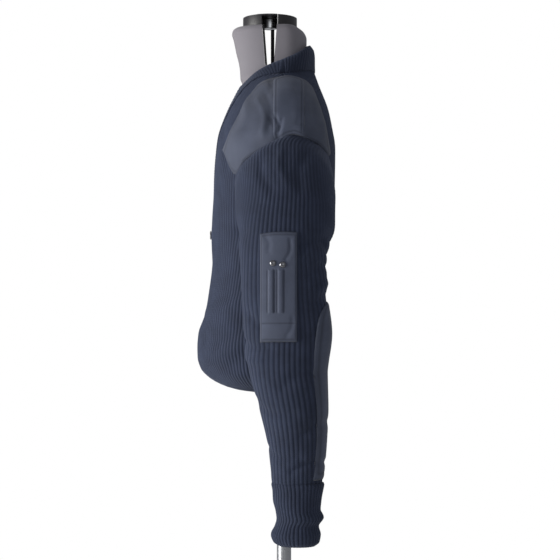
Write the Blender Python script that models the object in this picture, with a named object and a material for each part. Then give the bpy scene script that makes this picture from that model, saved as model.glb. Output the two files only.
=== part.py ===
# A ribbed V-neck sweater with woven patches, worn by a limbless dress form on a stand.
# The front faces -Y, the wearer's left is +X and the stand's pole is on the Z axis.
# Tables and named sizes are millimetres; meshes are made in metres.
import math
from functools import lru_cache

import bmesh
import bpy
import numpy as np
from mathutils import Matrix, Vector

MM = 0.001
SEAM = 0.3

# Walls, and the clearances that keep flat-sided walls from meeting where they curve
KNIT = 2.0
RIB = 1.0
TWILL = 1.2
CUFF_WALL = 3.6
BAND_WALL = 2.6
BAND_RIB = 0.8
ARMHOLE_GAP = 0.6
SLEEVE_HEAD = 1.2
SIDE_GAP = 0.35
NECK_GAP = 1.0
RIDGE_GAP = 1.4
LAID_ON = 1.0
ELBOW_CLEAR = 2.2
PATCH_CLEAR = 4.2
STRAP_CLEAR = 2.4

# The wall is thicker at the corner of the shoulder tip, within this reach and past this share
TIP_EXTRA = 2.0
TIP_REACH = 45.0
TIP_SHARE = 0.8

# Heights that the pieces share
UNDERARM_Z = 1100.0
SHOULDER_TIP_Z = 1279.0
NECK_SIDE_Z = 1372.0
NECK_RUN = 160.0
NECK_MIDDLE = 15.0
V_POINT_Z = 1155.0
V_HALF_WIDTH = 80.0
V_TOP_Z = 1395.0
BAND_WIDTH = 30.0

# How the ribs are spaced, and how many raised columns share one column of the plain inside
BODY_COLUMNS = 34
SLEEVE_RIBS = 32
CUFF_RIBS = 22
BAND_PITCH = 10.0
PLAIN_RATIO = 2
CUFF_RATIO = 4

# Rows of points: the panels' low heights and how many steps lead up from the underarm, the
# sleeve's rings, and the heights of the cuff and of the form
PANEL_LOW = (856.0, 863.0, 881.0, 917.0, 990.0)
PANEL_UP = 6
SLEEVE_ROWS = (0.0, 1.0, 2.0, 3.2, 4.6, 6.1, 7.6, 9.2, 11.0)
CUFF_ROWS = (734.0, 706.0, 692.0, 680.0, 666.0, 652.0, 636.0)
FORM_HEIGHTS = (897.0, 915.0, 945.0, 1000.0, 1070.0, 1130.0, 1190.0, 1240.0, 1279.0, 1298.0,
                1322.0, 1345.0, 1360.0, 1374.0, 1385.0, 1392.0, 1400.0, 1412.0, 1444.0, 1468.0,
                1480.0, 1487.0, 1490.0)
FORM_COLUMNS = 28
PATCH_COLUMNS = 18
PATCH_ROWS = 9
STRAP_COLUMNS = 6
STRAP_ROWS = 7
ELBOW_COLUMNS = 5

# The body's outer form: height, half width, front, back and side seam
BODY = (
    (854.0, 92.0, -49.0, 44.0, -6.0),
    (858.0, 106.0, -60.5, 52.0, -7.0),
    (862.5, 130.0, -91.7, 64.0, -9.0),
    (869.0, 148.0, -111.6, 72.0, -11.0),
    (881.0, 163.0, -131.7, 80.0, -14.0),
    (897.0, 174.0, -145.0, 86.0, -17.0),
    (917.0, 180.0, -150.7, 90.0, -19.0),
    (933.0, 182.0, -151.0, 91.0, -20.0),
    (958.0, 182.0, -149.0, 89.0, -20.0),
    (989.0, 180.0, -138.0, 84.0, -18.0),
    (1020.0, 178.0, -131.5, 78.0, -14.0),
    (1081.0, 177.0, -124.5, 71.0, -6.0),
    (1128.0, 180.0, -125.5, 78.0, 4.0),
    (1190.0, 189.0, -121.5, 86.5, 6.0),
    (1230.0, 196.0, -120.0, 88.0, 9.0),
    (1279.0, 203.0, -115.5, 89.0, 14.0),
    (1298.0, 195.0, -112.5, 86.5, 13.0),
    (1322.0, 180.0, -105.0, 82.5, 10.0),
    (1345.0, 160.0, -96.0, 77.5, 6.0),
    (1368.0, 131.0, -86.0, 69.5, 2.0),
    (1385.0, 104.0, -80.0, 63.0, 0.0),
    (1398.0, 82.0, -78.0, 58.5, -2.0),
    (1411.0, 70.0, -77.0, 54.0, -4.0),
)
BODY_POWER = ((854.0, 2.3), (1081.0, 2.45), (1190.0, 2.7), (1279.0, 2.6), (1345.0, 2.15), (1411.0, 2.0))

# The armhole seam from the shoulder tip round the front and the underarm: y, z
ARMHOLE = (
    (15.0, 1279.0), (-8.0, 1271.0), (-34.0, 1255.5), (-62.0, 1240.0),
    (-78.5, 1214.0), (-74.0, 1178.0), (-59.0, 1142.0), (-30.0, 1111.0),
    (4.0, 1100.0), (33.0, 1110.0), (54.0, 1141.0), (66.0, 1180.0),
    (73.0, 1218.0), (73.0, 1245.0), (60.0, 1260.5), (39.0, 1271.5),
)

ARMHOLE_FINE = 12
ARMHOLE_MIDDLE_Y = 4.0

# The sleeve's rings: outer x, outer z, inner x, inner z, front y, back y
SLEEVE = (
    (203.0, 1279.0, 185.0, 1100.0, -78.5, 80.0),
    (222.0, 1262.0, 188.0, 1096.5, -76.5, 80.0),
    (243.0, 1230.0, 190.0, 1092.0, -76.0, 79.5),
    (258.0, 1190.0, 191.5, 1086.0, -74.0, 79.0),
    (267.0, 1145.0, 192.5, 1076.0, -71.0, 79.0),
    (267.5, 1098.0, 193.5, 1056.0, -68.0, 74.0),
    (268.0, 1035.0, 194.0, 1018.0, -66.0, 65.5),
    (269.0, 970.0, 193.5, 962.0, -62.0, 71.5),
    (275.5, 905.0, 192.5, 903.0, -54.0, 64.5),
    (277.0, 850.0, 193.0, 850.0, -38.5, 65.5),
    (265.0, 800.0, 197.0, 800.0, -27.0, 63.5),
    (255.5, 735.0, 207.0, 735.0, -19.0, 58.0),
)
SLEEVE_POWER = 2.15

# The turned-back cuff: height, front y, back y, inner x, outer x
CUFF = (
    (734.0, -21.0, 60.5, 204.5, 258.0),
    (721.0, -17.5, 59.0, 205.5, 258.5),
    (704.0, -15.4, 57.0, 206.5, 257.5),
    (692.0, -13.2, 55.4, 207.5, 257.5),
    (680.0, -12.8, 60.0, 206.5, 259.0),
    (667.0, -15.4, 53.5, 208.0, 256.5),
    (654.0, -20.0, 57.0, 206.0, 259.0),
    (643.0, -16.5, 54.5, 208.0, 257.0),
    (636.0, -10.0, 49.0, 212.0, 252.0),
)

# Back neckline: distance from the middle, height
BACK_NECKLINE = ((0.0, 1411.5), (31.0, 1410.0), (58.0, 1406.0), (75.0, 1401.0), (81.2, 1398.5))

# Top edge of the neckband round the neck: 1 at the shoulder ridge, 2 at the centre back, then x, y, z
BAND_TOP = (
    (0.50, 59.0, -46.0, 1404.0),
    (0.80, 64.0, -25.0, 1414.5),
    (1.00, 65.5, -3.0, 1423.0),
    (1.25, 60.5, 17.0, 1433.0),
    (1.50, 47.0, 33.5, 1445.0),
    (1.75, 26.0, 41.5, 1453.5),
    (2.00, 0.0, 44.0, 1456.0),
)

# The dress form's neck and shoulders: height, half width, front, back
FORM_NECK = (
    (1385.0, 84.0, -71.5, 53.0),
    (1392.0, 74.0, -73.0, 50.0),
    (1400.0, 68.0, -76.0, 50.5),
    (1412.0, 61.0, -76.6, 46.0),
    (1426.0, 57.5, -78.5, 41.5),
    (1444.0, 56.5, -83.0, 39.0),
    (1468.0, 58.0, -88.0, 39.5),
    (1480.0, 58.0, -90.5, 36.0),
    (1487.0, 55.0, -89.0, 28.0),
    (1490.0, 51.0, -85.0, 23.0),
)
# How far the form lies inside the cloth: height, clearance
FORM_EASE = ((897.0, 11.0), (930.0, 9.0), (1100.0, 6.0), (1279.0, 7.0), (1298.0, 1.5), (1385.0, 1.5))
SEAT_EASE = 1.5
SEAT_WIDTH = 1.0
SIDE_EASE = 6.5
FORM_BOTTOM_Z = 892.0
FORM_TOP_Z = 1490.0

# The sleeve pocket on the left arm
POCKET_COLUMNS = (-37.0, -31.0, -25.5, -23.5, -17.5, -15.5, -11.0, -9.0, -3.0, -1.0, 9.0, 19.0)
POCKET_ROWS = (1124.0, 1095.0, 1066.5, 1064.0, 1034.0, 1002.0, 999.5, 976.0, 955.0)
CHANNELS_Y = (-20.5, -6.0)
CHANNEL_HALF = 5.0
CHANNEL_TOP_Z = 1064.0
CHANNEL_BOTTOM_Z = 1002.0
CHANNEL_RISE = 1.2
RIVETS_Y = (-17.6, -3.0)
RIVETS_Z = (1076.0, 1073.5)
RIVET_RADIUS = 4.8

STUD_Z = 1128.0
STUD_RADIUS = 7.5

# Shoulder patch outline as seen from the side: y, z
PATCH_NECK_EDGE = ((-58.0, 1351.0), (-41.0, 1376.0), (-20.0, 1386.0), (2.0, 1389.5),
                   (19.0, 1389.0), (35.0, 1384.0), (47.0, 1371.0))
PATCH_FRONT_EDGE = ((-58.0, 1351.0), (-80.0, 1308.0), (-101.0, 1264.0))
PATCH_BACK_EDGE = ((47.0, 1371.0), (65.0, 1318.0), (81.0, 1256.0))
PATCH_ON_ARMHOLE = (3.8, 3.0, 2.0, 1.0, 0.0, -1.0, -2.0, -2.7)
PATCH_INSET = 3.5
PATCH_CROWDING = 1.4
EPAULETTE_MIDDLE_Y = 7.0
EPAULETTE_HALF = 24.5
EPAULETTE_TIP_Z = 1386.0
EPAULETTE_ROUND = 9.0
EPAULETTE_CROWN = 1.2
EPAULETTE_END = 2.0

# The elbow patch: height, front edge and back edge as lengths round the sleeve from its outer line
ELBOW = (
    (1022.0, 84.0, 100.0),
    (1008.0, 70.0, 116.0),
    (985.0, 62.0, 126.0),
    (950.0, 59.0, 129.0),
    (900.0, 57.0, 124.0),
    (850.0, 54.0, 114.0),
    (795.0, 51.0, 102.0),
    (746.0, 49.0, 94.0),
)

# The form's neck fittings
CAP_FRONT_Y = -71.5
CAP_BACK_Y = 22.6
CAP_TOP_Z = 1512.0
CAP_HALF_WIDTH = 44.0
SLOT_MIDDLE_Y = -25.0
SLOT_TOP_HALF = 13.5
SLOT_LOW_HALF = 7.5
SLOT_BOTTOM_Z = 1416.0
ROD_Y = -22.0
ROD_RADIUS = 2.5
KNOB_Y = -24.5
KNOB_RADIUS = 12.5
KNOB_BOTTOM_Z = 1490.5
KNOB_TOP_Z = 1509.0

# The stand
POLE_RADIUS = 12.5
BASE_RADIUS = 180.0
BASE_THICK = 12.0
HUB_RADIUS = 26.0
HUB_TOP_Z = 46.0

NAVY_KNIT = (0.036, 0.045, 0.083)
NAVY_TWILL = (0.066, 0.082, 0.118)
GREY_LINEN = (0.205, 0.200, 0.220)
BLACK_CAP = (0.022, 0.020, 0.024)
BRIGHT_STEEL = (0.72, 0.72, 0.74)


def fair_curve(rows):
    """Return a reader of smooth values between the rows of a table, by its first column."""
    keys = np.array([row[0] for row in rows], float)
    values = np.array([row[1:] for row in rows], float)
    if keys[0] > keys[-1]:
        keys = keys[::-1]
        values = values[::-1]
    slopes = np.diff(values, axis=0) / np.diff(keys)[:, None]
    tangents = np.vstack([slopes[:1], np.zeros_like(slopes[1:]), slopes[-1:]])
    for i in range(1, len(keys) - 1):
        product = slopes[i - 1] * slopes[i]
        total = slopes[i - 1] + slopes[i]
        safe = np.where(product > 0, total, 1.0)
        tangents[i] = np.where(product > 0, 2 * product / safe, 0.0)

    def read(key):
        i = int(np.clip(np.searchsorted(keys, key) - 1, 0, len(keys) - 2))
        gap = keys[i + 1] - keys[i]
        t = float(np.clip((key - keys[i]) / gap, 0.0, 1.0))
        start = values[i] * (1 + 2 * t) * (1 - t) ** 2 + tangents[i] * gap * t * (1 - t) ** 2
        end = values[i + 1] * t * t * (3 - 2 * t) + tangents[i + 1] * gap * t * t * (t - 1)
        return start + end

    return read


body_at = fair_curve(BODY)
body_power_at = fair_curve(BODY_POWER)
sleeve_at = fair_curve([(i, *row) for i, row in enumerate(SLEEVE)])
cuff_at = fair_curve(CUFF)
back_neckline_at = fair_curve(BACK_NECKLINE)
form_neck_at = fair_curve(FORM_NECK)
form_ease_at = fair_curve(FORM_EASE)
ring_of_height = fair_curve([(row[1], i) for i, row in enumerate(SLEEVE)])

QUARTER = np.linspace(0.0, math.pi / 2, 121)
TURN = np.linspace(-math.pi, math.pi, 241)


@lru_cache(maxsize=None)
def body_section(facing, z):
    """Half of the body's outline at a height, from its middle to its side, with lengths."""
    half_width, front, back, side = body_at(z)
    power = 2.0 / body_power_at(z)[0]
    reach = (side - front) if facing < 0 else (back - side)
    x = half_width * np.sin(QUARTER) ** power
    y = side + facing * reach * np.cos(QUARTER) ** power
    length = np.concatenate([[0.0], np.cumsum(np.hypot(np.diff(x), np.diff(y)))])
    return x, y, length


def side_length(facing, z):
    """Length round the body from the middle of a panel to the side line."""
    return body_section(facing, round(z, 3))[2][-1]


def on_body(facing, s, z):
    """Point of the body's outer form at length s round it and at height z."""
    x, y, length = body_section(facing, round(z, 3))
    reach = min(abs(s), length[-1])
    return np.array([math.copysign(np.interp(reach, length, x), s), np.interp(reach, length, y), z])


def off_body(facing, s, z, out):
    """The same point moved out along the surface's normal."""
    limit = side_length(facing, z)
    s = max(-limit, min(limit, s))
    across = on_body(facing, min(s + 1.5, limit), z) - on_body(facing, max(s - 1.5, -limit), z)
    share = s / limit
    low = max(z - 1.0, BODY[0][0])
    high = min(z + 1.0, BODY[-1][0])
    if abs(share) > 0.999:
        across = np.array([0.0, -facing, 0.0]) * math.copysign(1.0, s)
    up = on_body(facing, share * side_length(facing, high), high)
    up = up - on_body(facing, share * side_length(facing, low), low)
    normal = np.cross(across, up) * -facing
    return on_body(facing, s, z) + out * normal / np.linalg.norm(normal)


def length_at_side_view(facing, y, z):
    """Length round the body, on the wearer's left, of the point seen at y and z from the side."""
    _, ys, length = body_section(facing, round(z, 3))
    if facing < 0:
        return float(np.interp(y, ys, length))
    return float(np.interp(-y, -ys, length))


def off_side_view(y, z, out):
    """Point on the wearer's left seen at y and z from the side, moved out of the panel under it."""
    facing = -1 if y < body_at(z)[3] else 1
    return over_panel(facing, length_at_side_view(facing, y, z), z, out)


def length_at_width(facing, x, z):
    """Length round the body of the point x from the middle."""
    xs, _, length = body_section(facing, round(z, 3))
    return float(np.interp(x, xs, length))


def closed_spline(points, count):
    """Even samples of a closed smooth curve, count for each stretch between points."""
    points = [np.array(point, float) for point in points]
    total = len(points)
    result = []
    for i in range(total):
        before, start, end, after = (points[(i + k) % total] for k in (-1, 0, 1, 2))
        for step in range(count):
            t = step / count
            result.append(0.5 * (2 * start + (end - before) * t
                                 + (2 * before - 5 * start + 4 * end - after) * t * t
                                 + (3 * start - before - 3 * end + after) * t ** 3))
    return np.array(result)


ARMHOLE_LINE = closed_spline(ARMHOLE, ARMHOLE_FINE)


def armhole_point(turn, inset):
    """Point of the armhole seam, drawn in towards its middle, for a turn from the shoulder tip."""
    place = (turn / (2 * math.pi)) % 1.0 * len(ARMHOLE_LINE)
    index = np.arange(len(ARMHOLE_LINE) + 1)
    ring = np.vstack([ARMHOLE_LINE, ARMHOLE_LINE[:1]])
    y = np.interp(place, index, ring[:, 0])
    z = np.interp(place, index, ring[:, 1])
    away = np.array([y - ARMHOLE_MIDDLE_Y, z - (UNDERARM_Z + SHOULDER_TIP_Z) / 2])
    y, z = np.array([y, z]) - inset * away / np.linalg.norm(away)
    facing = -1 if y < body_at(z)[3] else 1
    return on_body(facing, length_at_side_view(facing, y, z), z)


def ring_point(ring, turn):
    """Point of the sleeve's outer form on the wearer's left at a ring and a turn."""
    outer_x, outer_z, inner_x, inner_z, front, back = sleeve_at(ring)
    along = math.copysign(abs(math.cos(turn)) ** (2 / SLEEVE_POWER), math.cos(turn))
    aside = math.copysign(abs(math.sin(turn)) ** (2 / SLEEVE_POWER), math.sin(turn))
    middle = np.array([(outer_x + inner_x) / 2, (front + back) / 2, (outer_z + inner_z) / 2])
    half = np.array([(outer_x - inner_x) / 2, 0.0, (outer_z - inner_z) / 2])
    return middle + along * half + aside * np.array([0.0, (front - back) / 2, 0.0])


@lru_cache(maxsize=None)
def sleeve_section(ring):
    """The sleeve's outline at a ring, with lengths from its outer line, the front positive."""
    share = max(0.0, 1.0 - ring)
    share = share * share * (3 - 2 * share)
    points = []
    for turn in TURN:
        point = ring_point(ring, turn)
        if share > 0:
            seam = armhole_point(turn, ARMHOLE_GAP) + np.array([SLEEVE_HEAD, 0.0, 0.0])
            point = point * (1 - share) + seam * share
        points.append(point)
    points = np.array(points)
    length = np.concatenate([[0.0], np.cumsum(np.linalg.norm(np.diff(points, axis=0), axis=1))])
    return points, length - length[len(TURN) // 2]


def on_sleeve(ring, s):
    points, length = sleeve_section(round(ring, 4))
    return np.array([np.interp(s, length, points[:, axis]) for axis in range(3)])


def sleeve_normal(ring, s):
    _, length = sleeve_section(round(ring, 4))
    s = max(length[0] + 2.0, min(length[-1] - 2.0, s))
    around = on_sleeve(ring, s + 2.0) - on_sleeve(ring, s - 2.0)
    low = min(ring + 0.1, len(SLEEVE) - 1)
    high = max(ring - 0.1, 0.0)
    down = on_sleeve(low, s) - on_sleeve(high, s)
    normal = np.cross(around, down)
    return normal / np.linalg.norm(normal)


def off_sleeve(ring, s, out):
    """Point of the sleeve's form moved out, where both ends of a ring meet in one seam point."""
    _, length = sleeve_section(round(ring, 4))
    if length[0] < s < length[-1]:
        return on_sleeve(ring, s) + out * sleeve_normal(ring, s)
    normal = sleeve_normal(ring, length[0]) + sleeve_normal(ring, length[-1])
    return on_sleeve(ring, length[0]) + out * normal / np.linalg.norm(normal)


def bridge_edges(faces, dense, plain, flip):
    """Triangles between a dense edge and a plain one with fewer points, both from end to end."""
    i = 0
    k = 0
    while i < len(dense) - 1 or k < len(plain) - 1:
        next_dense = (i + 1) / (len(dense) - 1)
        next_plain = (k + 1) / (len(plain) - 1)
        if k == len(plain) - 1 or (i < len(dense) - 1 and next_dense - 0.5 / len(dense) <= next_plain):
            face = (dense[i], dense[i + 1], plain[k])
            i += 1
        else:
            face = (dense[i], plain[k + 1], plain[k])
            k += 1
        faces.append(face[::-1] if flip else face)


def wall(name, outer, inner, colour, sides=True, mirror=False, even=False):
    """A closed wall between two grids of points; an even one has the same form on each half."""
    points = []
    faces = []

    def add(grid):
        rows = []
        for row in grid:
            rows.append(list(range(len(points), len(points) + len(row))))
            points.extend(row)
        return rows

    out = add(outer)
    plain = add(inner)
    for rows, flip in ((out, False), (plain, True)):
        for low, high in zip(rows[:-1], rows[1:]):
            for k in range(len(low) - 1):
                if even and k < len(low) // 2:
                    pair = ((low[k], low[k + 1], high[k]), (low[k + 1], high[k + 1], high[k]))
                else:
                    pair = ((low[k], low[k + 1], high[k + 1]), (low[k], high[k + 1], high[k]))
                for face in pair:
                    faces.append(face[::-1] if flip else face)
    bridge_edges(faces, out[0], plain[0], True)
    bridge_edges(faces, out[-1], plain[-1], False)
    if sides:
        bridge_edges(faces, [row[0] for row in out], [row[0] for row in plain], False)
        bridge_edges(faces, [row[-1] for row in out], [row[-1] for row in plain], True)
    if mirror:
        points = [(-x, y, z) for x, y, z in points]
    return solid(name, points, faces, colour)


def solid(name, points, faces, colour, rough=0.9, metal=0.0):
    """A closed solid from points in millimetres, merged, facing out."""
    mesh = bpy.data.meshes.new(name)
    mesh.from_pydata([tuple(float(v) * MM for v in point) for point in points], [], faces)
    shape = bmesh.new()
    shape.from_mesh(mesh)
    bmesh.ops.remove_doubles(shape, verts=shape.verts[:], dist=0.00002)
    bmesh.ops.recalc_face_normals(shape, faces=shape.faces[:])
    if shape.calc_volume(signed=True) < 0:
        bmesh.ops.reverse_faces(shape, faces=shape.faces[:])
    shape.to_mesh(mesh)
    shape.free()
    return place(name, mesh, colour, rough, metal)


def place(name, mesh, colour, rough, metal):
    """Link a mesh to the scene with a plain material of its own."""
    thing = bpy.data.objects.new(name, mesh)
    bpy.context.scene.collection.objects.link(thing)
    material = bpy.data.materials.new(name)
    material.use_nodes = True
    shader = material.node_tree.nodes["Principled BSDF"]
    shader.inputs["Base Color"].default_value = (*colour, 1.0)
    shader.inputs["Roughness"].default_value = rough
    shader.inputs["Metallic"].default_value = metal
    mesh.materials.append(material)
    return thing


def cut(thing, cutter, solver="EXACT"):
    """Cut one solid by another that is kept as a guide."""
    modifier = thing.modifiers.new("Cut by " + cutter.name, "BOOLEAN")
    modifier.operation = "DIFFERENCE"
    modifier.object = cutter
    modifier.solver = solver


def guide(thing):
    """Mark a cutter, which isn't part of the object."""
    thing.hide_render = True
    thing.display_type = "WIRE"
    return thing


def rib_height(column, columns):
    """Rise of a column of stitches: every second one is raised, and a seam lies flat."""
    return RIB if column % 2 and 1 < column < columns - 1 else 0.0


def v_half_width(z):
    """Half the width of the V at a height."""
    return (z - V_POINT_Z) * V_HALF_WIDTH / (V_TOP_Z - V_POINT_Z)


def past_edge(facing, share, z):
    """Whether a column of a panel has passed its upper edge at a height."""
    s = panel_length(facing, share, z)
    if s > side_length(facing, z):
        return True
    if z > BACK_NECKLINE[-1][1] - RIDGE_GAP and facing < 0:
        return True
    x = on_body(facing, s, z)[0]
    if facing < 0:
        return x < v_half_width(z) + NECK_GAP
    if x > BACK_NECKLINE[-1][0] - RIDGE_GAP and z > BACK_NECKLINE[-1][1] - RIDGE_GAP:
        return True
    return x < BACK_NECKLINE[-1][0] and z > back_neckline_at(x)[0] - NECK_GAP


@lru_cache(maxsize=None)
def panel_end(facing, share):
    """Height where a column of a body panel ends: the shoulder ridge or the neckline."""
    low = UNDERARM_Z
    while not past_edge(facing, share, low + 4.0):
        low += 4.0
    high = low + 4.0
    while high - low > 0.01:
        middle = (low + high) / 2
        if past_edge(facing, share, middle):
            high = middle
        else:
            low = middle
    return low


def panel_length(facing, share, z):
    """Length round the body of a column: shared out below the shoulder tip, straight above it."""
    return share * side_length(facing, min(z, SHOULDER_TIP_Z))


@lru_cache(maxsize=None)
def panel_heights(facing, share):
    """Heights of a column's points from hem to edge, evenly by length above the underarm."""
    end = panel_end(facing, share)
    heights = end - (end - UNDERARM_Z) * np.linspace(1.0, 0.0, 60) ** 2
    path = np.array([on_body(facing, panel_length(facing, share, z), z) for z in heights])
    length = np.concatenate([[0.0], np.cumsum(np.linalg.norm(np.diff(path, axis=0), axis=1))])
    steps = np.linspace(0.0, length[-1], PANEL_UP + 1)
    return [*PANEL_LOW, *(float(z) for z in np.interp(steps, length, heights))]


def panel_corner(facing, share, z, out):
    """Point of a panel's column on the wearer's left."""
    s = min(panel_length(facing, share, z), side_length(facing, z) - SIDE_GAP)
    return off_body(facing, s, z, out)


def panel_wall(share, z):
    """Thickness of a panel's wall, which is greater at the corner of the shoulder tip."""
    near_tip = max(0.0, 1.0 - abs(z - SHOULDER_TIP_Z) / TIP_REACH)
    near_side = max(0.0, (share - TIP_SHARE) / (1.0 - TIP_SHARE))
    return KNIT + TIP_EXTRA * near_tip * near_side


def body_panel(name, facing):
    """Front or back: ribbed outside, plain inside, from the tucked hem to the shoulder."""
    outer = []
    inner = []
    for level in range(len(PANEL_LOW) + PANEL_UP + 1):
        outside = []
        inside = []
        for column in range(-BODY_COLUMNS, BODY_COLUMNS + 1):
            share = abs(column) / BODY_COLUMNS
            z = panel_heights(facing, share)[level]
            side = np.array([1.0 if column >= 0 else -1.0, 1.0, 1.0])
            rise = rib_height(column + BODY_COLUMNS, 2 * BODY_COLUMNS)
            outside.append(panel_corner(facing, share, z, rise) * side)
            if (column + BODY_COLUMNS) % PLAIN_RATIO == 0:
                inside.append(panel_corner(facing, share, z, -panel_wall(share, z)) * side)
        outer.append(outside)
        inner.append(inside)
    panel = wall(name, outer, inner, NAVY_KNIT, even=True)
    cut(panel, bpy.data.objects["armhole_cutter"], "MANIFOLD")
    return panel


def over_panel(facing, s, z, out):
    """Point over a panel's own faces: between the rows of its columns, moved out."""
    share = min(1.0, s / side_length(facing, min(z, SHOULDER_TIP_Z)))
    heights = panel_heights(facing, share)
    level = int(np.clip(np.searchsorted(heights, z) - 1, 0, len(heights) - 2))
    t = min(1.0, (z - heights[level]) / max(0.001, heights[level + 1] - heights[level]))
    low = panel_corner(facing, share, heights[level], out)
    return low + t * (panel_corner(facing, share, heights[level + 1], out) - low)


def armhole_cutter():
    """A bar with the armholes' outline that runs through both sides of the body."""
    reach = 320.0
    outline = ARMHOLE_LINE[::2]
    count = len(outline)
    points = [(side * reach, y, z) for side in (-1, 1) for y, z in outline]
    faces = [tuple(range(count)), tuple(range(2 * count - 1, count - 1, -1))]
    for i in range(count):
        j = (i + 1) % count
        faces.append((i, j, j + count, i + count))
    return guide(solid("armhole_cutter", points, faces, NAVY_KNIT))


def sleeve_length(ring, share):
    """Length round the sleeve for a share of the way to the underarm seam, the front positive."""
    length = sleeve_section(round(ring, 4))[1]
    return share * (length[-1] if share > 0 else -length[0])


def sleeve(name, mirror):
    """A ribbed tube from the armhole to the cuff, closed at the underarm seam."""
    outer = []
    inner = []
    for ring in SLEEVE_ROWS:
        outside = []
        inside = []
        for column in range(-SLEEVE_RIBS, SLEEVE_RIBS + 1):
            share = column / SLEEVE_RIBS
            s = sleeve_length(ring, share)
            flat = ring == 0 or column % 2 == 0 or abs(column) > SLEEVE_RIBS - 2
            outside.append(off_sleeve(ring, s, 0.0 if flat else RIB))
            if (column + SLEEVE_RIBS) % PLAIN_RATIO == 0:
                inside.append(inside_sleeve(ring, s))
        outer.append(outside)
        inner.append(inside)
    return wall(name, outer, inner, NAVY_KNIT, sides=False, mirror=mirror)


def inside_sleeve(ring, s):
    """Point of the sleeve's plain inside; at the armhole it lies further in along the seam."""
    if ring > 0:
        return off_sleeve(ring, s, -KNIT)
    turn = np.interp(s, sleeve_section(0.0)[1], TURN)
    return armhole_point(turn, ARMHOLE_GAP + KNIT) + np.array([SLEEVE_HEAD, 0.0, 0.0])


def over_sleeve(ring, s, out):
    """Point over the sleeve's own faces: between its rows, moved out."""
    length = sleeve_section(round(ring, 4))[1]
    share = s / (length[-1] if s > 0 else -length[0])
    level = int(np.clip(np.searchsorted(SLEEVE_ROWS, ring) - 1, 0, len(SLEEVE_ROWS) - 2))
    low, high = SLEEVE_ROWS[level], SLEEVE_ROWS[level + 1]
    t = (ring - low) / (high - low)
    start = off_sleeve(low, sleeve_length(low, share), out)
    return start + t * (off_sleeve(high, sleeve_length(high, share), out) - start)


def cuff(name, mirror):
    """The turned-back cuff: a double layer of rib with a rolled lower edge."""
    columns = CUFF_RIBS * 2
    outer = []
    inner = []
    for z in CUFF_ROWS:
        outside = []
        inside = []
        for column in range(columns + 1):
            turn = 2 * math.pi * column / columns
            rise = RIB if column % 2 and z < CUFF_ROWS[0] else 0.0
            outside.append(cuff_point(z, turn, rise))
            if column % CUFF_RATIO == 0:
                inside.append(cuff_point(z, turn, -CUFF_WALL))
        outer.append(outside)
        inner.append(inside)
    return wall(name, outer, inner, NAVY_KNIT, sides=False, mirror=mirror)


def cuff_point(z, turn, out):
    """Point of the cuff's form on the wearer's left, moved out level."""
    front, back, inner_x, outer_x = cuff_at(z)
    half_x = (outer_x - inner_x) / 2 + out
    half_y = (back - front) / 2 + out
    power = 2 / SLEEVE_POWER
    x = (outer_x + inner_x) / 2 + half_x * math.copysign(abs(math.cos(turn)) ** power, math.cos(turn))
    y = (front + back) / 2 + half_y * math.copysign(abs(math.sin(turn)) ** power, math.sin(turn))
    return np.array([x, y, z])


def front_at(x, z, out):
    """Point of the front at x and z, moved out; x is measured from the middle."""
    s = length_at_width(-1, abs(x), z)
    return off_body(-1, math.copysign(s, x), z, out)


def band_lines():
    """Pairs of seam and top edge points, from the V's point up the front to the centre back."""
    slope = math.atan(V_HALF_WIDTH / (V_TOP_Z - V_POINT_Z))
    run = (NECK_SIDE_Z - V_POINT_Z) / math.cos(slope)
    mitre = BAND_WIDTH / math.tan(slope)
    along = np.array([math.sin(slope), math.cos(slope)])
    inward = np.array([-math.cos(slope), math.sin(slope)])
    lines = []
    count = 2 * round(run / BAND_PITCH)
    for i in range(count + 1):
        way = run * i / count
        seam = np.array([0.0, V_POINT_Z]) + way * along
        top = seam + min(BAND_WIDTH, way * math.tan(slope)) * inward
        lines.append(("front", seam, top, way <= mitre))
    first_top = front_at(*lines[-1][2], 0.0)
    top_at = fair_curve([(0.0, *first_top), *BAND_TOP])
    around = 2 * round(NECK_RUN / BAND_PITCH)
    for i in range(1, around + 1):
        way = 2.0 * i / around
        lines.append(("neck", neck_seam(way), top_at(way), False))
    return lines


def neck_seam(way):
    """Seam of the neckband on the body: up the V to the ridge at 1, then to the centre back at 2."""
    ridge_x, ridge_z = BACK_NECKLINE[-1]
    if way < 1.0:
        z = ridge_z - (ridge_z - NECK_SIDE_Z) * (1.0 - way) ** 2
        return front_at(min(v_half_width(z), ridge_x), z, 0.0)
    x = ridge_x * math.sin((2.0 - way) * math.pi / 2)
    z = back_neckline_at(x)[0]
    return off_body(1, length_at_width(1, x, z), z, 0.0)


def band_point(line, share, out):
    """Point of the neckband across its width, moved out of it."""
    kind, seam, top, _ = line
    point = seam + share * (top - seam)
    if kind == "front":
        return front_at(max(point[0], 0.0), point[1], out)
    away = np.array([point[0], point[1] + NECK_MIDDLE, 0.0])
    lean = (top - seam) / np.linalg.norm(top - seam)
    normal = away - lean * np.dot(away, lean)
    return point + out * normal / np.linalg.norm(normal)


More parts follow.
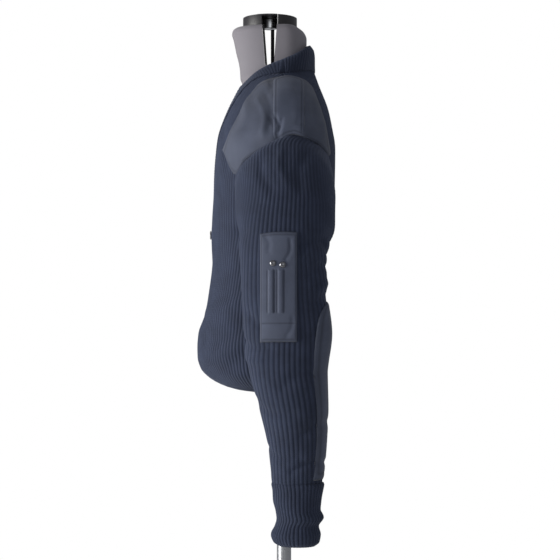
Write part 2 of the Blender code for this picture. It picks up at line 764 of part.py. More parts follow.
def neckband():
    """The rib band, mitred at the V's point: its two halves share the mitre and the centre back."""
    lines = band_lines()
    shares = (0.0, 1.0)
    points = []
    faces = []
    for side in (1, -1):
        grids = []
        for layer in ("outer", "inner"):
            grid = []
            for i, line in enumerate(lines):
                last = i == len(lines) - 1
                rise = BAND_RIB if i % 2 and not last and i > 1 else 0.0
                out = rise if layer == "outer" else -BAND_WALL + RIB
                row = []
                for share in shares:
                    x, y, z = band_point(line, share, out)
                    on_middle = last or (line[3] and share == 1.0) or i == 0
                    row.append(len(points))
                    points.append((0.0 if on_middle else side * x, y, z))
                grid.append(row)
            grids.append(grid)
        outer, inner = grids
        for i in range(len(lines) - 1):
            for k in range(len(shares) - 1):
                faces.append((outer[i][k], outer[i][k + 1], outer[i + 1][k + 1], outer[i + 1][k]))
                faces.append((inner[i][k], inner[i + 1][k], inner[i + 1][k + 1], inner[i][k + 1]))
            faces.append((outer[i][0], outer[i + 1][0], inner[i + 1][0], inner[i][0]))
            if not lines[i + 1][3]:
                faces.append((outer[i][-1], inner[i][-1], inner[i + 1][-1], outer[i + 1][-1]))
    return solid("neckband", points, faces, NAVY_KNIT)


def open_spline(points, share):
    """Point of a smooth open curve through points, evenly by length."""
    points = np.array(points, float)
    length = np.concatenate([[0.0], np.cumsum(np.linalg.norm(np.diff(points, axis=0), axis=1))])
    rows = [(length[i] / length[-1], *points[i]) for i in range(len(points))]
    return fair_curve(rows)(share)


def patch_low_edge():
    """The shoulder patch's lower edge: its front corner, along the armhole, and its back corner."""
    turns = [2 * math.pi * place / len(ARMHOLE) for place in PATCH_ON_ARMHOLE]
    seam = [armhole_point(turn, -PATCH_INSET)[1:] for turn in turns]
    return [PATCH_FRONT_EDGE[-1], *seam, PATCH_BACK_EDGE[-1]]


def shoulder_patch(name, mirror):
    """Woven patch over the shoulder ridge, from the neck to the armhole, pointed at its lower front."""
    low_edge = patch_low_edge()
    outer = []
    inner = []
    for j in range(PATCH_ROWS + 1):
        v = 1.0 - (1.0 - j / PATCH_ROWS) ** PATCH_CROWDING
        start = open_spline(PATCH_FRONT_EDGE, v)
        end = open_spline(PATCH_BACK_EDGE, v)
        outside = []
        inside = []
        for i in range(PATCH_COLUMNS + 1):
            u = i / PATCH_COLUMNS
            ruled = (1 - v) * open_spline(PATCH_NECK_EDGE, u) + v * open_spline(low_edge, u)
            ruled = ruled + (1 - u) * start + u * end
            high = (1 - u) * np.array(PATCH_FRONT_EDGE[0]) + u * np.array(PATCH_BACK_EDGE[0])
            low = (1 - u) * np.array(low_edge[0]) + u * np.array(low_edge[-1])
            y, z = ruled - (1 - v) * high - v * low
            outside.append(off_side_view(y, z, RIB + PATCH_CLEAR + TWILL))
            inside.append(off_side_view(y, z, RIB + PATCH_CLEAR))
        outer.append(outside)
        inner.append(inside)
    return wall(name, outer, inner, NAVY_TWILL, mirror=mirror)


def armhole_top_z(y):
    """Height of the armhole seam's upper part at a place from front to back."""
    top = ARMHOLE_LINE[ARMHOLE_LINE[:, 1] > (UNDERARM_Z + SHOULDER_TIP_Z) / 2]
    order = np.argsort(top[:, 0])
    return float(np.interp(y, top[order, 0], top[order, 1]))


def epaulette(name, mirror):
    """Strap along the shoulder, sewn into the armhole, with a rounded end near the neckband."""
    base = RIB + PATCH_CLEAR + TWILL + STRAP_CLEAR
    outer = []
    inner = []
    for j in range(STRAP_ROWS + 1):
        v = j / STRAP_ROWS
        outside = []
        inside = []
        for i in range(STRAP_COLUMNS + 1):
            aside = 2 * i / STRAP_COLUMNS - 1
            y = EPAULETTE_MIDDLE_Y + aside * EPAULETTE_HALF
            top = EPAULETTE_TIP_Z - EPAULETTE_ROUND * abs(aside) ** 2.2
            low = armhole_top_z(y) + PATCH_INSET + EPAULETTE_END
            z = top + v * (low - top)
            outside.append(off_side_view(y, z, base + TWILL + EPAULETTE_CROWN * (1 - aside ** 4)))
            inside.append(off_side_view(y, z, base))
        outer.append(outside)
        inner.append(inside)
    return wall(name, outer, inner, NAVY_TWILL, mirror=mirror)


def elbow_patch(name, mirror):
    """Woven patch along the back of the forearm, with a rounded top."""
    outer = []
    inner = []
    for z, start, end in ELBOW:
        ring = float(ring_of_height(z)[0])
        outside = []
        inside = []
        for i in range(ELBOW_COLUMNS + 1):
            s = -(start + (end - start) * i / ELBOW_COLUMNS)
            outside.append(over_sleeve(ring, s, RIB + ELBOW_CLEAR + TWILL))
            inside.append(over_sleeve(ring, s, RIB + ELBOW_CLEAR))
        outer.append(outside)
        inner.append(inside)
    return wall(name, outer, inner, NAVY_TWILL, mirror=mirror)


def off_arm_view(y, z, out):
    """Point on the outer face of the left sleeve seen at y and z from the side, moved out."""
    ring = float(ring_of_height(z)[0])
    points, length = sleeve_section(round(ring, 4))
    middle = len(TURN) // 2
    quarter = len(TURN) // 4
    near = slice(middle - quarter, middle + quarter + 1)
    order = np.argsort(points[near, 1])
    s = np.interp(y, points[near, 1][order], length[near][order])
    return over_sleeve(ring, s, out)


def channel_rise(y, z):
    """How far the two pen channels of the pocket are raised."""
    if not CHANNEL_BOTTOM_Z - 1 < z < CHANNEL_TOP_Z + 1:
        return 0.0
    return max(CHANNEL_RISE * max(0.0, 1 - (abs(y - at) / CHANNEL_HALF) ** 4) for at in CHANNELS_Y)


def pen_pocket():
    """Woven pocket on the left upper arm with two raised pen channels."""
    outer = []
    inner = []
    for z in POCKET_ROWS:
        outside = []
        for y in POCKET_COLUMNS:
            outside.append(off_arm_view(y, z, RIB + LAID_ON + TWILL + channel_rise(y, z)))
        outer.append(outside)
        inner.append([off_arm_view(y, z, RIB + LAID_ON) for y in POCKET_COLUMNS])
    return wall("pen_pocket", outer, inner, NAVY_TWILL)


def turned(name, profile, segments, colour, rough, metal):
    """A turned solid about Z from radius and height pairs, first and last on the axis."""
    shape = bmesh.new()
    verts = [shape.verts.new((r * MM, 0.0, z * MM)) for r, z in profile]
    for a, b in zip(verts[:-1], verts[1:]):
        shape.edges.new((a, b))
    bmesh.ops.spin(shape, geom=shape.verts[:] + shape.edges[:], axis=(0, 0, 1), cent=(0, 0, 0),
                   steps=segments, angle=2 * math.pi, use_duplicate=False)
    bmesh.ops.remove_doubles(shape, verts=shape.verts[:], dist=0.00001)
    bmesh.ops.recalc_face_normals(shape, faces=shape.faces[:])
    if shape.calc_volume(signed=True) < 0:
        bmesh.ops.reverse_faces(shape, faces=shape.faces[:])
    mesh = bpy.data.meshes.new(name)
    shape.to_mesh(mesh)
    shape.free()
    return place(name, mesh, colour, rough, metal)


def stand_off(thing, point, normal):
    """Seat a turned solid, whose back is at its origin, on a surface."""
    turn = Vector((0, 0, 1)).rotation_difference(Vector(normal)).to_matrix().to_4x4()
    thing.matrix_world = Matrix.Translation(Vector([float(v) * MM for v in point])) @ turn


def rivets():
    """Two domed rivets above the pen channels."""
    profile = ((0, 0), (RIVET_RADIUS, 0), (RIVET_RADIUS, 0.5), (4.0, 1.3), (2.3, 1.9), (0, 2.1))
    for number, (y, z) in enumerate(zip(RIVETS_Y, RIVETS_Z), 1):
        rivet = turned(f"pocket_rivet_{number}", profile, 12, BRIGHT_STEEL, 0.25, 1.0)
        seat = off_arm_view(y, z, RIB + LAID_ON + TWILL + SEAM)
        stand_off(rivet, seat, off_arm_view(y, z, 10.0) - off_arm_view(y, z, 0.0))


def chest_stud():
    """Press stud at the centre front, just under the V."""
    profile = ((0, 0), (STUD_RADIUS, 0), (STUD_RADIUS, 1.0), (6.6, 2.0), (4.0, 2.3), (3.2, 1.6), (0, 1.6))
    stud = turned("chest_stud", profile, 16, BRIGHT_STEEL, 0.25, 1.0)
    seat = off_body(-1, 0.0, STUD_Z, RIB + SEAM)
    stand_off(stud, seat, off_body(-1, 0.0, STUD_Z, 10.0) - off_body(-1, 0.0, STUD_Z, 0.0))


def form_ring(z, count):
    """Outline of the dress form: inside the cloth below the neck, then the neck's own oval."""
    ring = []
    for i in range(count):
        turn = 2 * math.pi * i / count
        facing = -1 if math.cos(turn) > 0 else 1
        if z < FORM_NECK[0][0]:
            quarter = math.asin(min(1.0, abs(math.sin(turn))))
            s = side_length(facing, z) * quarter / (math.pi / 2)
            from_ridge = side_length(facing, z) - s
            ease = max(form_ease_at(z)[0], SEAT_EASE + (SIDE_EASE if from_ridge > SEAT_WIDTH else 0.0))
            point = off_body(facing, math.copysign(s, math.sin(turn)), z, -KNIT - ease)
            if z == FORM_HEIGHTS[0]:
                point[2] = FORM_BOTTOM_Z
        else:
            half_width, front, back = form_neck_at(z)
            reach = -front if facing < 0 else back
            point = (half_width * math.sin(turn), -reach * math.cos(turn), z)
        ring.append(point)
    return ring


def form_body():
    """The dress form: a smooth torso and neck with a slot through the neck."""
    count = FORM_COLUMNS
    rings = [form_ring(z, count) for z in FORM_HEIGHTS]
    points = [point for ring in rings for point in ring]
    faces = [tuple(range(count)), tuple(range(len(points) - 1, len(points) - count - 1, -1))]
    for k in range(len(rings) - 1):
        for i in range(count):
            j = (i + 1) % count
            faces.append((k * count + i, k * count + j, (k + 1) * count + j, (k + 1) * count + i))
    form = solid("form_body", points, faces, GREY_LINEN)
    cut(form, slot_cutter())
    return form


def slot_cutter():
    """Wedge that runs from side to side through the neck, wider at its top."""
    reach = 90.0
    outline = (
        (SLOT_MIDDLE_Y - SLOT_TOP_HALF, FORM_TOP_Z + 8.0),
        (SLOT_MIDDLE_Y - SLOT_LOW_HALF, SLOT_BOTTOM_Z),
        (SLOT_MIDDLE_Y + SLOT_LOW_HALF, SLOT_BOTTOM_Z),
        (SLOT_MIDDLE_Y + SLOT_TOP_HALF, FORM_TOP_Z + 8.0),
    )
    points = [(side * reach, y, z) for side in (-1, 1) for y, z in outline]
    faces = [(0, 1, 2, 3), (7, 6, 5, 4)]
    for i in range(4):
        j = (i + 1) % 4
        faces.append((i, j, j + 4, i + 4))
    return guide(solid("slot_cutter", points, faces, GREY_LINEN))


def cap(name, front, back):
    """One half of the domed cap on the neck, cut off at the slot."""
    middle_y = (CAP_FRONT_Y + CAP_BACK_Y) / 2
    middle = (front + back) / 2
    half_y = (CAP_BACK_Y - CAP_FRONT_Y) / 2
    bottom = FORM_TOP_Z + SEAM
    rim = CAP_TOP_Z - 4.0
    count = 12
    rows = []
    for z, shrink in ((bottom, 0.0), (rim - 6.0, 0.0), (rim, 1.5), (CAP_TOP_Z, 6.0)):
        row = []
        ys = [front + (back - front) * i / count for i in range(count + 1)]
        for y in ys:
            share = min(1.0, abs(y - middle_y) / half_y)
            width = max(9.0, CAP_HALF_WIDTH * math.sqrt(max(0.0, 1 - share ** 2.4)))
            row.append((width - shrink, middle + (y - middle) * (1 - 2 * shrink / (back - front)), z))
        rows.append(row)
    points = []
    faces = []
    for row in rows:
        points.extend(row)
        points.extend([(-x, y, z) for x, y, z in reversed(row)])
    ring = 2 * (count + 1)
    for k in range(len(rows) - 1):
        for i in range(ring):
            j = (i + 1) % ring
            faces.append((k * ring + i, k * ring + j, (k + 1) * ring + j, (k + 1) * ring + i))
    last = (len(rows) - 1) * ring
    for i in range(count):
        faces.append((i, i + 1, ring - 2 - i, ring - 1 - i))
        faces.append((last + i, last + ring - 1 - i, last + ring - 2 - i, last + i + 1))
    return solid(name, points, faces, BLACK_CAP, 0.6)


def neck_fittings():
    """Cap halves, the rod in the slot and the knob on the rod."""
    gap = KNOB_RADIUS + SEAM
    cap("form_cap_front", CAP_FRONT_Y, KNOB_Y - gap - 1.0)
    cap("form_cap_back", KNOB_Y + gap + 1.0, CAP_BACK_Y)
    low = SLOT_BOTTOM_Z + SEAM
    high = KNOB_BOTTOM_Z - SEAM
    rod = turned("neck_rod", ((0, low), (ROD_RADIUS, low), (ROD_RADIUS, high), (0, high)), 16,
                 BLACK_CAP, 0.5, 0.6)
    rod.location = (0.0, ROD_Y * MM, 0.0)
    height = KNOB_TOP_Z - KNOB_BOTTOM_Z
    profile = ((0, 0), (KNOB_RADIUS - 3.0, 0), (KNOB_RADIUS, 3.0), (KNOB_RADIUS, height - 6.0),
               (KNOB_RADIUS - 2.0, height - 2.0), (KNOB_RADIUS - 6.0, height), (0, height))
    knob = turned("neck_knob", profile, 20, BRIGHT_STEEL, 0.15, 1.0)
    knob.location = (0.0, KNOB_Y * MM, KNOB_BOTTOM_Z * MM)


def stand():
    """Pole and round base."""
    top = FORM_BOTTOM_Z - SEAM
    low = HUB_TOP_Z + SEAM
    turned("pole", ((0, low), (POLE_RADIUS, low), (POLE_RADIUS, top), (0, top)), 20,
           BRIGHT_STEEL, 0.3, 1.0)
    profile = ((0, 0), (BASE_RADIUS - 2, 0), (BASE_RADIUS, 2), (BASE_RADIUS, BASE_THICK - 3),
               (BASE_RADIUS - 4, BASE_THICK), (HUB_RADIUS + 6, BASE_THICK + 3), (HUB_RADIUS, BASE_THICK + 10),
               (HUB_RADIUS - 4, HUB_TOP_Z), (0, HUB_TOP_Z))
    turned("base", profile, 32, BRIGHT_STEEL, 0.35, 1.0)


def main():
    for thing in list(bpy.data.objects):
        bpy.data.objects.remove(thing, do_unlink=True)
    armhole_cutter()
    body_panel("front", -1)
    body_panel("back", 1)
    for side, mirror in (("left", False), ("right", True)):
        sleeve("sleeve_" + side, mirror)
        cuff("cuff_" + side, mirror)
        shoulder_patch("shoulder_patch_" + side, mirror)
        epaulette("epaulette_" + side, mirror)
        elbow_patch("elbow_patch_" + side, mirror)
    neckband()
    pen_pocket()
    rivets()
    chest_stud()
    form_body()
    neck_fittings()
    stand()


main()
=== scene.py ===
# Looks of a navy ribbed V-neck sweater with woven patches, worn by a limbless dress form.
# The front faces -Y and the wearer's left is +X. Tables are millimetres, meshes are metres.
import math
import bmesh
import bpy
import numpy as np
from mathutils import Matrix, Vector


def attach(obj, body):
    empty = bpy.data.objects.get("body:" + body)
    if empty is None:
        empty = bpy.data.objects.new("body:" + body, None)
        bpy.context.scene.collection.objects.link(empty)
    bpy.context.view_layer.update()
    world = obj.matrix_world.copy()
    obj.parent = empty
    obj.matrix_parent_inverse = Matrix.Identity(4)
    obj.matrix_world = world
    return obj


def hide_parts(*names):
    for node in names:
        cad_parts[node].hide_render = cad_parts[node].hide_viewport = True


bl_info = {
    "name": "Ribbed V-neck sweater",
    "version": (1, 0, 0),
    "blender": (4, 5, 0),
    "location": "View3D > Sidebar > Sweater",
    "description": "Builds a ribbed sweater with woven patches on a dress form",
    "category": "Add Mesh",
}

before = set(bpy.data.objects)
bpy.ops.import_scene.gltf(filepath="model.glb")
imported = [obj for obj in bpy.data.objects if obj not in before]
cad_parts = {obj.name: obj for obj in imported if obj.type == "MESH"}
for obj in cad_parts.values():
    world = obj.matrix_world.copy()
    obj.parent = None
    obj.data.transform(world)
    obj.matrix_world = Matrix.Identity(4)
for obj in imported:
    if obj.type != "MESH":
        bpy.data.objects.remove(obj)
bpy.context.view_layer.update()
MM = 0.001

# Heights and walls that the pieces share
UNDERARM_Z = 1100.0
SHOULDER_TIP_Z = 1279.0
NECK_SIDE_Z = 1372.0
NECK_RUN = 160.0  # of the band, from the shoulder to the centre back
NECK_MIDDLE_Y = -15.0
V_POINT_Z = 1155.0
V_HALF_WIDTH = 80.0
V_TOP_Z = 1395.0
V_LEAN = V_HALF_WIDTH / (V_TOP_Z - V_POINT_Z)
BAND_WIDTH = 30.0
HEM_Z = 858.0
KNIT_WALL = 2.0
SLEEVE_END_SUNK = 3.2
ARMHOLE_RIM_SUNK = 4.2
BAND_ROLL = 5.4  # of the collar, outwards at the back
SUNK = 1.6  # of the ribs' grooves into the solid's form
TUCKED_IN = 7.0  # of the sleeve into its cuff
UNDER_BAND = 2.6  # of the panels below the neckband

# The body's outer form: height, half width, front, back and side seam
BODY = (
    (855.5, 92.0, -49.0, 44.0, -6.0),
    (860.5, 106.0, -60.5, 52.0, -7.0),
    (865.0, 130.0, -91.7, 64.0, -9.0),
    (871.5, 148.0, -111.6, 68.0, -11.0),
    (883.0, 163.0, -131.7, 72.5, -14.0),
    (897.0, 174.0, -145.0, 76.0, -17.0),
    (917.0, 180.0, -150.7, 79.0, -19.0),
    (933.0, 182.0, -151.0, 80.5, -20.0),
    (958.0, 182.0, -149.0, 81.0, -20.0),
    (989.0, 180.0, -138.0, 78.5, -18.0),
    (1020.0, 178.0, -131.5, 74.0, -14.0),
    (1081.0, 177.0, -124.5, 70.0, -6.0),
    (1128.0, 180.0, -125.5, 78.0, 4.0),
    (1190.0, 189.0, -121.5, 86.5, 6.0),
    (1230.0, 196.0, -120.0, 88.0, 9.0),
    (1279.0, 203.0, -115.5, 89.0, 14.0),
    (1298.0, 195.0, -112.5, 86.5, 13.0),
    (1322.0, 180.0, -105.0, 82.5, 10.0),
    (1345.0, 160.0, -96.0, 77.5, 6.0),
    (1368.0, 131.0, -86.0, 69.5, 2.0),
    (1385.0, 104.0, -80.0, 63.0, 0.0),
    (1398.0, 82.0, -78.0, 58.5, -2.0),
    (1411.0, 70.0, -77.0, 54.0, -4.0),
)
BODY_POWER = ((855.5, 2.3), (1081.0, 2.45), (1190.0, 2.7), (1279.0, 2.6), (1345.0, 2.15), (1411.0, 2.0))

# The armhole seam from the shoulder tip round the front and the underarm: y, z
ARMHOLE = (
    (15.0, 1279.0), (-8.0, 1271.0), (-34.0, 1255.5), (-62.0, 1240.0),
    (-78.5, 1214.0), (-74.0, 1178.0), (-59.0, 1142.0), (-30.0, 1111.0),
    (4.0, 1100.0), (33.0, 1110.0), (54.0, 1141.0), (66.0, 1180.0),
    (73.0, 1218.0), (73.0, 1245.0), (60.0, 1260.5), (39.0, 1271.5),
)
ARMHOLE_STEPS = 12
ARMHOLE_MIDDLE = (4.0, 1189.5)
SEAM_OVERLAP = 0.8

# The sleeve's rings: outer x, outer z, inner x, inner z, front y, back y
SLEEVE = (
    (203.0, 1279.0, 185.0, 1100.0, -78.5, 80.0),
    (222.0, 1262.0, 188.0, 1096.5, -76.5, 80.0),
    (243.0, 1230.0, 190.0, 1092.0, -76.0, 79.5),
    (258.0, 1190.0, 191.5, 1086.0, -74.0, 79.0),
    (267.0, 1145.0, 192.5, 1076.0, -71.0, 70.5),
    (267.5, 1098.0, 193.5, 1056.0, -68.0, 65.0),
    (268.0, 1035.0, 194.0, 1018.0, -66.0, 65.5),
    (269.0, 970.0, 193.5, 962.0, -62.0, 71.5),
    (275.5, 905.0, 192.5, 903.0, -54.0, 64.5),
    (277.0, 850.0, 193.0, 850.0, -38.5, 65.5),
    (265.0, 800.0, 197.0, 800.0, -27.0, 63.5),
    (255.5, 735.0, 207.0, 735.0, -19.0, 58.0),
)
SLEEVE_POWER = 2.15

# The turned-back cuff: height, front y, back y, inner x, outer x
CUFF = (
    (734.0, -21.0, 60.5, 204.5, 258.0),
    (721.0, -17.5, 59.0, 205.5, 258.5),
    (704.0, -15.4, 57.0, 206.5, 257.5),
    (692.0, -13.2, 55.4, 207.5, 257.5),
    (680.0, -12.8, 60.0, 206.5, 259.0),
    (667.0, -15.4, 53.5, 208.0, 256.5),
    (654.0, -20.0, 57.0, 206.0, 259.0),
    (643.0, -16.5, 54.5, 208.0, 257.0),
    (636.0, -10.0, 49.0, 212.0, 252.0),
)
CUFF_WALL = 3.4

# Back neckline: distance from the middle, height
BACK_NECKLINE = ((0.0, 1411.5), (31.0, 1410.0), (58.0, 1406.0), (75.0, 1401.0), (81.2, 1398.5))
RIDGE_X, RIDGE_Z = BACK_NECKLINE[-1]

# Top edge of the neckband: 1 at the shoulder ridge, 2 at the centre back, then x, y, z
BAND_TOP = (
    (0.50, 59.0, -46.0, 1404.0),
    (0.80, 64.0, -25.0, 1414.5),
    (1.00, 65.5, -3.0, 1423.0),
    (1.25, 60.5, 17.0, 1433.0),
    (1.50, 47.0, 33.5, 1445.0),
    (1.75, 26.0, 41.5, 1453.5),
    (2.00, 0.0, 44.0, 1456.0),
)

# The dress form's neck: height, half width, front, back; and its clearance inside the cloth
FORM_NECK = (
    (1385.0, 84.0, -71.5, 53.0),
    (1392.0, 74.0, -73.0, 50.0),
    (1400.0, 68.0, -76.0, 50.5),
    (1412.0, 61.0, -76.6, 46.0),
    (1426.0, 57.5, -78.5, 41.5),
    (1444.0, 56.5, -83.0, 39.0),
    (1468.0, 58.0, -88.0, 39.5),
    (1477.0, 58.0, -90.5, 36.0),
    (1483.5, 55.0, -89.0, 28.0),
    (1486.5, 51.0, -85.0, 23.0),
)
FORM_EASE = ((897.0, 14.0), (930.0, 13.0), (1100.0, 12.0), (1279.0, 12.0), (1298.0, 10.0), (1385.0, 8.5))
FORM_BOTTOM_Z = 892.0
FORM_TOP_Z = 1486.5
NECK_POWER = 2.35
CAP_TOP_Z = 1505.5
CAP_HEIGHT = CAP_TOP_Z - FORM_TOP_Z - 0.3
CAP_MIDDLE_Y = -24.45
CAP_HALVES = (44.0, 47.0)
CAP_ROUND = 3.2
# Parts of the cap: name, nodes, front y, back y, height, top
CAPS = (
    ("cap_front", ["form_cap_front"], -71.4, -38.3, CAP_HEIGHT, CAP_TOP_Z),
    ("cap_back", ["form_cap_back"], -10.7, 22.5, CAP_HEIGHT, CAP_TOP_Z),
    ("cap_plate", [], -46.0, -11.2, 2.8, CAP_TOP_Z + 0.4),
)
# The slot across the neck, y and z of its corners, and the dark board along its front side, a dark sheet that
# stands for the shade on that wall as painted shade
SLOT = ((-38.5, 1498.0), (-32.5, 1416.0), (-17.5, 1416.0), (-11.5, 1498.0))
BOARD_MIDDLE = (0.0, -33.0, 1451.0)
BOARD_SIZE = (98.0, 3.6, 67.0)
BOARD_TILT = -4.2

# Shoulder patch outline as seen from the side: y, z
PATCH_NECK_EDGE = ((-58.0, 1351.0), (-41.0, 1376.0), (-20.0, 1386.0), (2.0, 1389.5),
                   (19.0, 1389.0), (35.0, 1384.0), (47.0, 1371.0))
PATCH_FRONT_EDGE = ((-58.0, 1351.0), (-80.0, 1308.0), (-101.0, 1264.0))
PATCH_BACK_EDGE = ((47.0, 1371.0), (62.5, 1318.0), (75.0, 1257.0))
PATCH_ON_ARMHOLE = (3.8, 3.0, 2.0, 1.0, 0.0, -1.0, -2.0, -2.7)
PATCH_INSET = 0.6
PATCH_CLOTH = (190.0, 120.0)
STRAP_MIDDLE_Y = 7.0
STRAP_HALF = 24.5
STRAP_TIP_Z = 1386.0
STRAP_ROUND = 9.0

# The elbow patch: height, front edge and back edge as lengths round the sleeve
ELBOW = (
    (1022.0, 78.0, 100.0),
    (1008.0, 60.0, 116.0),
    (985.0, 48.0, 126.0),
    (950.0, 42.0, 129.0),
    (900.0, 40.0, 124.0),
    (850.0, 37.0, 114.0),
    (795.0, 31.0, 102.0),
    (740.0, 25.0, 92.0),
)

# The sleeve pocket
POCKET_Y = (-37.0, 19.0)
POCKET_Z = (955.0, 1124.0)
CHANNELS_Y = (-20.5, -6.0)
CHANNEL_HALF = 4.6
CHANNEL_Z = (1000.0, 1066.0)
CHANNEL_RISE = 1.7
RIVETS = ((-17.6, 1076.0), (-3.0, 1073.5))
STUD_Z = 1128.0
POCKET_SEAM_Z = 984.0

# Soft creases of a sleeve: height and length round it at both ends, half width, depth
SLEEVE_CREASES = (
    (1118.0, -95.0, 1098.0, -20.0, 9.0, -3.2),
    (1092.0, -110.0, 1062.0, -45.0, 8.0, -2.6),
    (1058.0, -105.0, 1040.0, -60.0, 7.0, 2.4),
    (1030.0, -112.0, 1018.0, -52.0, 8.0, -3.0),
    (1000.0, 60.0, 972.0, 22.0, 8.0, -2.2),
    (968.0, 96.0, 948.0, 34.0, 7.0, -2.6),
    (940.0, 90.0, 926.0, 46.0, 7.0, 2.2),
    (905.0, -60.0, 888.0, 10.0, 8.0, -2.0),
    (862.0, 70.0, 846.0, 5.0, 8.0, -2.4),
    (830.0, -70.0, 812.0, -12.0, 7.0, -2.2),
    (790.0, 62.0, 776.0, 0.0, 6.0, -2.0),
    (764.0, -66.0, 754.0, 8.0, 5.0, -2.4),
    (1238.0, 40.0, 1196.0, 24.0, 8.0, -2.6),
    (1246.0, 8.0, 1205.0, 2.0, 7.0, 2.0),
    (1242.0, -30.0, 1196.0, -22.0, 8.0, -2.4),
    (1180.0, 118.0, 1138.0, 70.0, 10.0, -3.0),
    (1166.0, -122.0, 1128.0, -72.0, 10.0, -3.0),
)

# Soft creases of the body: height and length from its middle at both ends, half width, depth
FRONT_CREASES = (
    (1120.0, 250.0, 1080.0, 190.0, 13.0, -3.4),
    (1168.0, 232.0, 1128.0, 168.0, 12.0, -2.6),
    (1096.0, 262.0, 1030.0, 232.0, 12.0, 2.6),
    (1000.0, 240.0, 952.0, 120.0, 15.0, -3.0),
    (1030.0, 210.0, 998.0, 90.0, 14.0, 2.2),
    (930.0, 210.0, 904.0, 60.0, 12.0, -2.4),
    (1290.0, 96.0, 1236.0, 150.0, 12.0, -2.2),
    (1140.0, 30.0, 1060.0, 14.0, 14.0, -1.6),
)
BACK_CREASES = (
    (1150.0, 205.0, 1104.0, 120.0, 13.0, -3.6),
    (1120.0, 190.0, 1076.0, 90.0, 12.0, 2.6),
    (1088.0, 200.0, 1052.0, 60.0, 13.0, -3.0),
    (1040.0, 196.0, 1018.0, 30.0, 14.0, -2.4),
    (980.0, 190.0, 960.0, 70.0, 12.0, 2.0),
    (930.0, 180.0, 912.0, 40.0, 12.0, -2.4),
    (1300.0, 40.0, 1210.0, 60.0, 14.0, -2.0),
)

# Puckers of the shoulder patch: height and y at both ends, half width, depth
PATCH_CREASES = (
    (1352.0, -31.0, 1290.0, -24.0, 5.0, -1.1),
    (1340.0, -42.0, 1284.0, -34.0, 5.0, 1.4),
    (1306.0, -22.0, 1278.0, -12.0, 3.5, -1.1),
    (1340.0, -62.0, 1276.0, -78.0, 8.0, 1.6),
    (1330.0, 44.0, 1286.0, 38.0, 5.0, -1.0),
    (1300.0, 62.0, 1268.0, 50.0, 6.0, 1.4),
    (1376.0, -22.0, 1350.0, -26.0, 5.0, -0.9),
)
# Puckers of the strap near the armhole: height and y at both ends, half width, depth
STRAP_CREASES = (
    (1308.0, -14.0, 1278.0, -9.0, 3.2, -1.6),
    (1302.0, -4.0, 1282.0, -12.0, 3.0, -1.3),
    (1360.0, 18.0, 1300.0, 22.0, 5.0, -0.9),
)
# Creases of the pocket: height and y at both ends, half width, depth
POCKET_CREASES = (
    (1110.0, 8.0, 1082.0, 2.0, 3.0, -1.2),
    (1118.0, -28.0, 1096.0, -24.0, 4.0, -0.8),
    (990.0, 12.0, 966.0, 4.0, 4.0, -0.9),
)

# Distance between the sleeve's ribs: ring, millimetres
SLEEVE_PITCH = ((0.0, 5.9), (2.0, 6.0), (4.0, 6.9), (6.0, 7.9), (8.5, 8.1), (11.0, 6.5))
CUFF_RIBS = 41
RIB_COLUMNS = 6
RIB_POWER = 0.36

# Profiles of turned pieces: radius, height
DOME = ((4.8, 0.0), (4.8, 0.5), (4.5, 1.0), (3.8, 1.6), (2.7, 2.1), (1.3, 2.45), (0.05, 2.5))
STUD = ((7.5, 0.0), (7.5, 0.9), (7.1, 1.6), (6.3, 2.0), (5.4, 1.9), (4.9, 1.3), (3.2, 1.3), (2.8, 1.9),
        (0.05, 2.1))
KNOB = ((12.0, 0.0), (12.6, 0.6), (12.6, 14.4), (12.2, 14.9), (0.05, 15.0))
FOOT = ((178.5, 0.0), (179.6, 0.7), (180.0, 2.0), (180.0, 9.0), (179.2, 11.0), (176.0, 12.0), (34.0, 14.8),
        (30.0, 16.5), (27.0, 22.0), (25.6, 32.0), (24.8, 43.0), (23.4, 45.4), (21.5, 46.0), (14.0, 46.0))

# Turned fittings of the form and stand: name, node, finish, slot, segments, seat, profile
FITTINGS = (
    ("knob", "neck_knob", "chrome", "chrome", 64, (0.0, -25.0, 1487.8), KNOB),
    ("rod", "neck_rod", "rod", "cap", 24, (0.0, -19.9, 1416.3), ((3.1, 0.0), (3.1, 70.0))),
    ("stand_pole", "pole", "steel", "steel", 48, (0.0, 0.0, 46.3), ((12.5, 0.0), (12.5, 845.4))),
    ("stand_base", "base", "steel", "steel", 96, (0.0, 0.0, 0.0), FOOT),
)

# Hard finishes: material, colour, metallic, roughness, how far that varies, size of its grain in millimetres
HARD_FINISHES = {
    # Moulded black plastic: matt with a soft highlight on its rounded edge
    "cap": ("black_moulded_plastic", "#1d1b1f", 0.0, 0.45, 0.08, 2.5),
    # Satin chrome plate: bright, with a soft-edged highlight
    "chrome": ("chrome_plate", "#e8e8ea", 1.0, 0.3, 0.05, 5.0),
    # Nickel-plated brass worn dull: dark with one bright glint
    "nickel": ("worn_nickel_plate", "#78787c", 1.0, 0.24, 0.05, 3.333),
    # Brushed steel tube and plate: soft streaks and a dull shine
    "steel": ("brushed_steel", "#a9abae", 1.0, 0.34, 0.08, 3.333),
    # Blackened steel of the rod, also on the dark board in the neck slot that stands for the shade there as
    # painted shade: dull, with worn lighter spots
    "rod": ("blackened_steel", "#2b292c", 0.7, 0.4, 0.08, 3.333),
}

# Lights: name, place, target, size, setting of its power, colour
LIGHTS = (
    ("window", (1.0, -3.05, 1.05), (0.0, 0.0, 1.05), 1.7, "key_light", (1.0, 0.99, 0.97)),
    ("side_fill", (2.9, 0.6, 1.6), (0.0, 0.0, 1.05), 1.6, "side_light", (0.94, 0.97, 1.0)),
)

# The camera's place, found from the photograph
PHOTO_PX = 560
CAMERA_FOCAL_PX = 1261.0
CAMERA_MM = (2200.0, -7.0, 1050.0)
SENSOR_MM = 36.0

MIRROR_X = np.array([-1.0, 1.0, 1.0])
SIDES = (("left", False), ("right", True))


